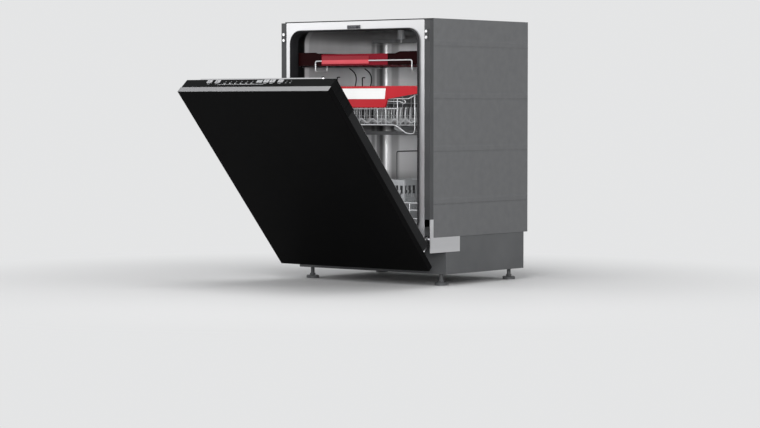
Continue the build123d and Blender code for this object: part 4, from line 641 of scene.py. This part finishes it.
fade.inputs["From Min"].default_value, fade.inputs["From Max"].default_value = 0.45, 1.7
tree.links.new(far.outputs["Value"], fade.inputs["Value"])
glow = tree.nodes.new("ShaderNodeEmission")
glow.inputs["Color"].default_value = BACKDROP
floor_look = tree.nodes.new("ShaderNodeMixShader")
tree.links.new(fade.outputs["Result"], floor_look.inputs["Fac"])
tree.links.new(tree.nodes["Principled BSDF"].outputs["BSDF"], floor_look.inputs[1])
tree.links.new(glow.outputs["Emission"], floor_look.inputs[2])
tree.links.new(floor_look.outputs["Shader"], tree.nodes["Material Output"].inputs["Surface"])
floor.data.materials.append(floor_paint)

world = bpy.data.worlds.new("studio")
bpy.context.scene.world = world
world.use_nodes = True
tree = world.node_tree
tree.nodes.clear()
out = tree.nodes.new("ShaderNodeOutputWorld")
mix = tree.nodes.new("ShaderNodeMixShader")
seen = tree.nodes.new("ShaderNodeBackground")
seen.inputs["Color"].default_value = BACKDROP
lit = tree.nodes.new("ShaderNodeBackground")
lit.inputs["Color"].default_value = (0.75, 0.76, 0.78, 1)
lit.inputs["Strength"].default_value = 0.45
ray = tree.nodes.new("ShaderNodeLightPath")
reach = ray.outputs["Is Camera Ray"]
for kind in ("Is Glossy Ray", "Is Transmission Ray"):
    reach = work(tree, "MAXIMUM", reach, ray.outputs[kind])
tree.links.new(reach, mix.inputs["Fac"])
tree.links.new(lit.outputs["Background"], mix.inputs[1])
tree.links.new(seen.outputs["Background"], mix.inputs[2])
tree.links.new(mix.outputs["Shader"], out.inputs["Surface"])


def soft_lamp(name, place, aim, size, power):
    """A square softbox of the given side, turned to face a point."""
    lamp = bpy.data.lights.new(name, "AREA")
    lamp.size, lamp.energy = size, power
    thing = bpy.data.objects.new(name, lamp)
    thing.location = place
    way = np.array(place) - np.array(aim)
    thing.rotation_euler = (math.acos(way[2] / np.linalg.norm(way)), 0, math.atan2(way[0], -way[1]))
    bpy.context.scene.collection.objects.link(thing)


soft_lamp("key_light", (1.5, -2.6, 1.9), (0, 0.25, 0.6), 1.0, 29.0)
soft_lamp("mouth_light", (3.0, -3.6, 0.95), (-0.1, 0.3, 0.6), 1.0, 105.0)
soft_lamp("fill_light", (-3.0, -2.6, 1.8), (0, 0, 0.5), 2.2, 30.0)
soft_lamp("side_light", (3.6, 0.4, 2.2), (0, 0.2, 0.4), 1.8, 30.0)
soft_lamp("top_light", (0.2, -0.6, 3.0), (0, 0, 0.6), 1.6, 35.0)

# Camera: a long lens from the machine's right front, level with its middle, so that its upright edges stay
# nearly upright in the picture.
camera = bpy.data.cameras.new("camera")
camera.lens, camera.sensor_width, camera.clip_end = 113.99, 36.0, 100.0
eye = bpy.data.objects.new("camera", camera)
eye.location = (4.76724, -5.73177, 0.54947)
eye.rotation_euler = (math.radians(90 - 2.568), 0, math.radians(39.13))
bpy.context.scene.collection.objects.link(eye)
bpy.context.scene.camera = eye
bpy.context.scene.view_settings.view_transform = "Standard"
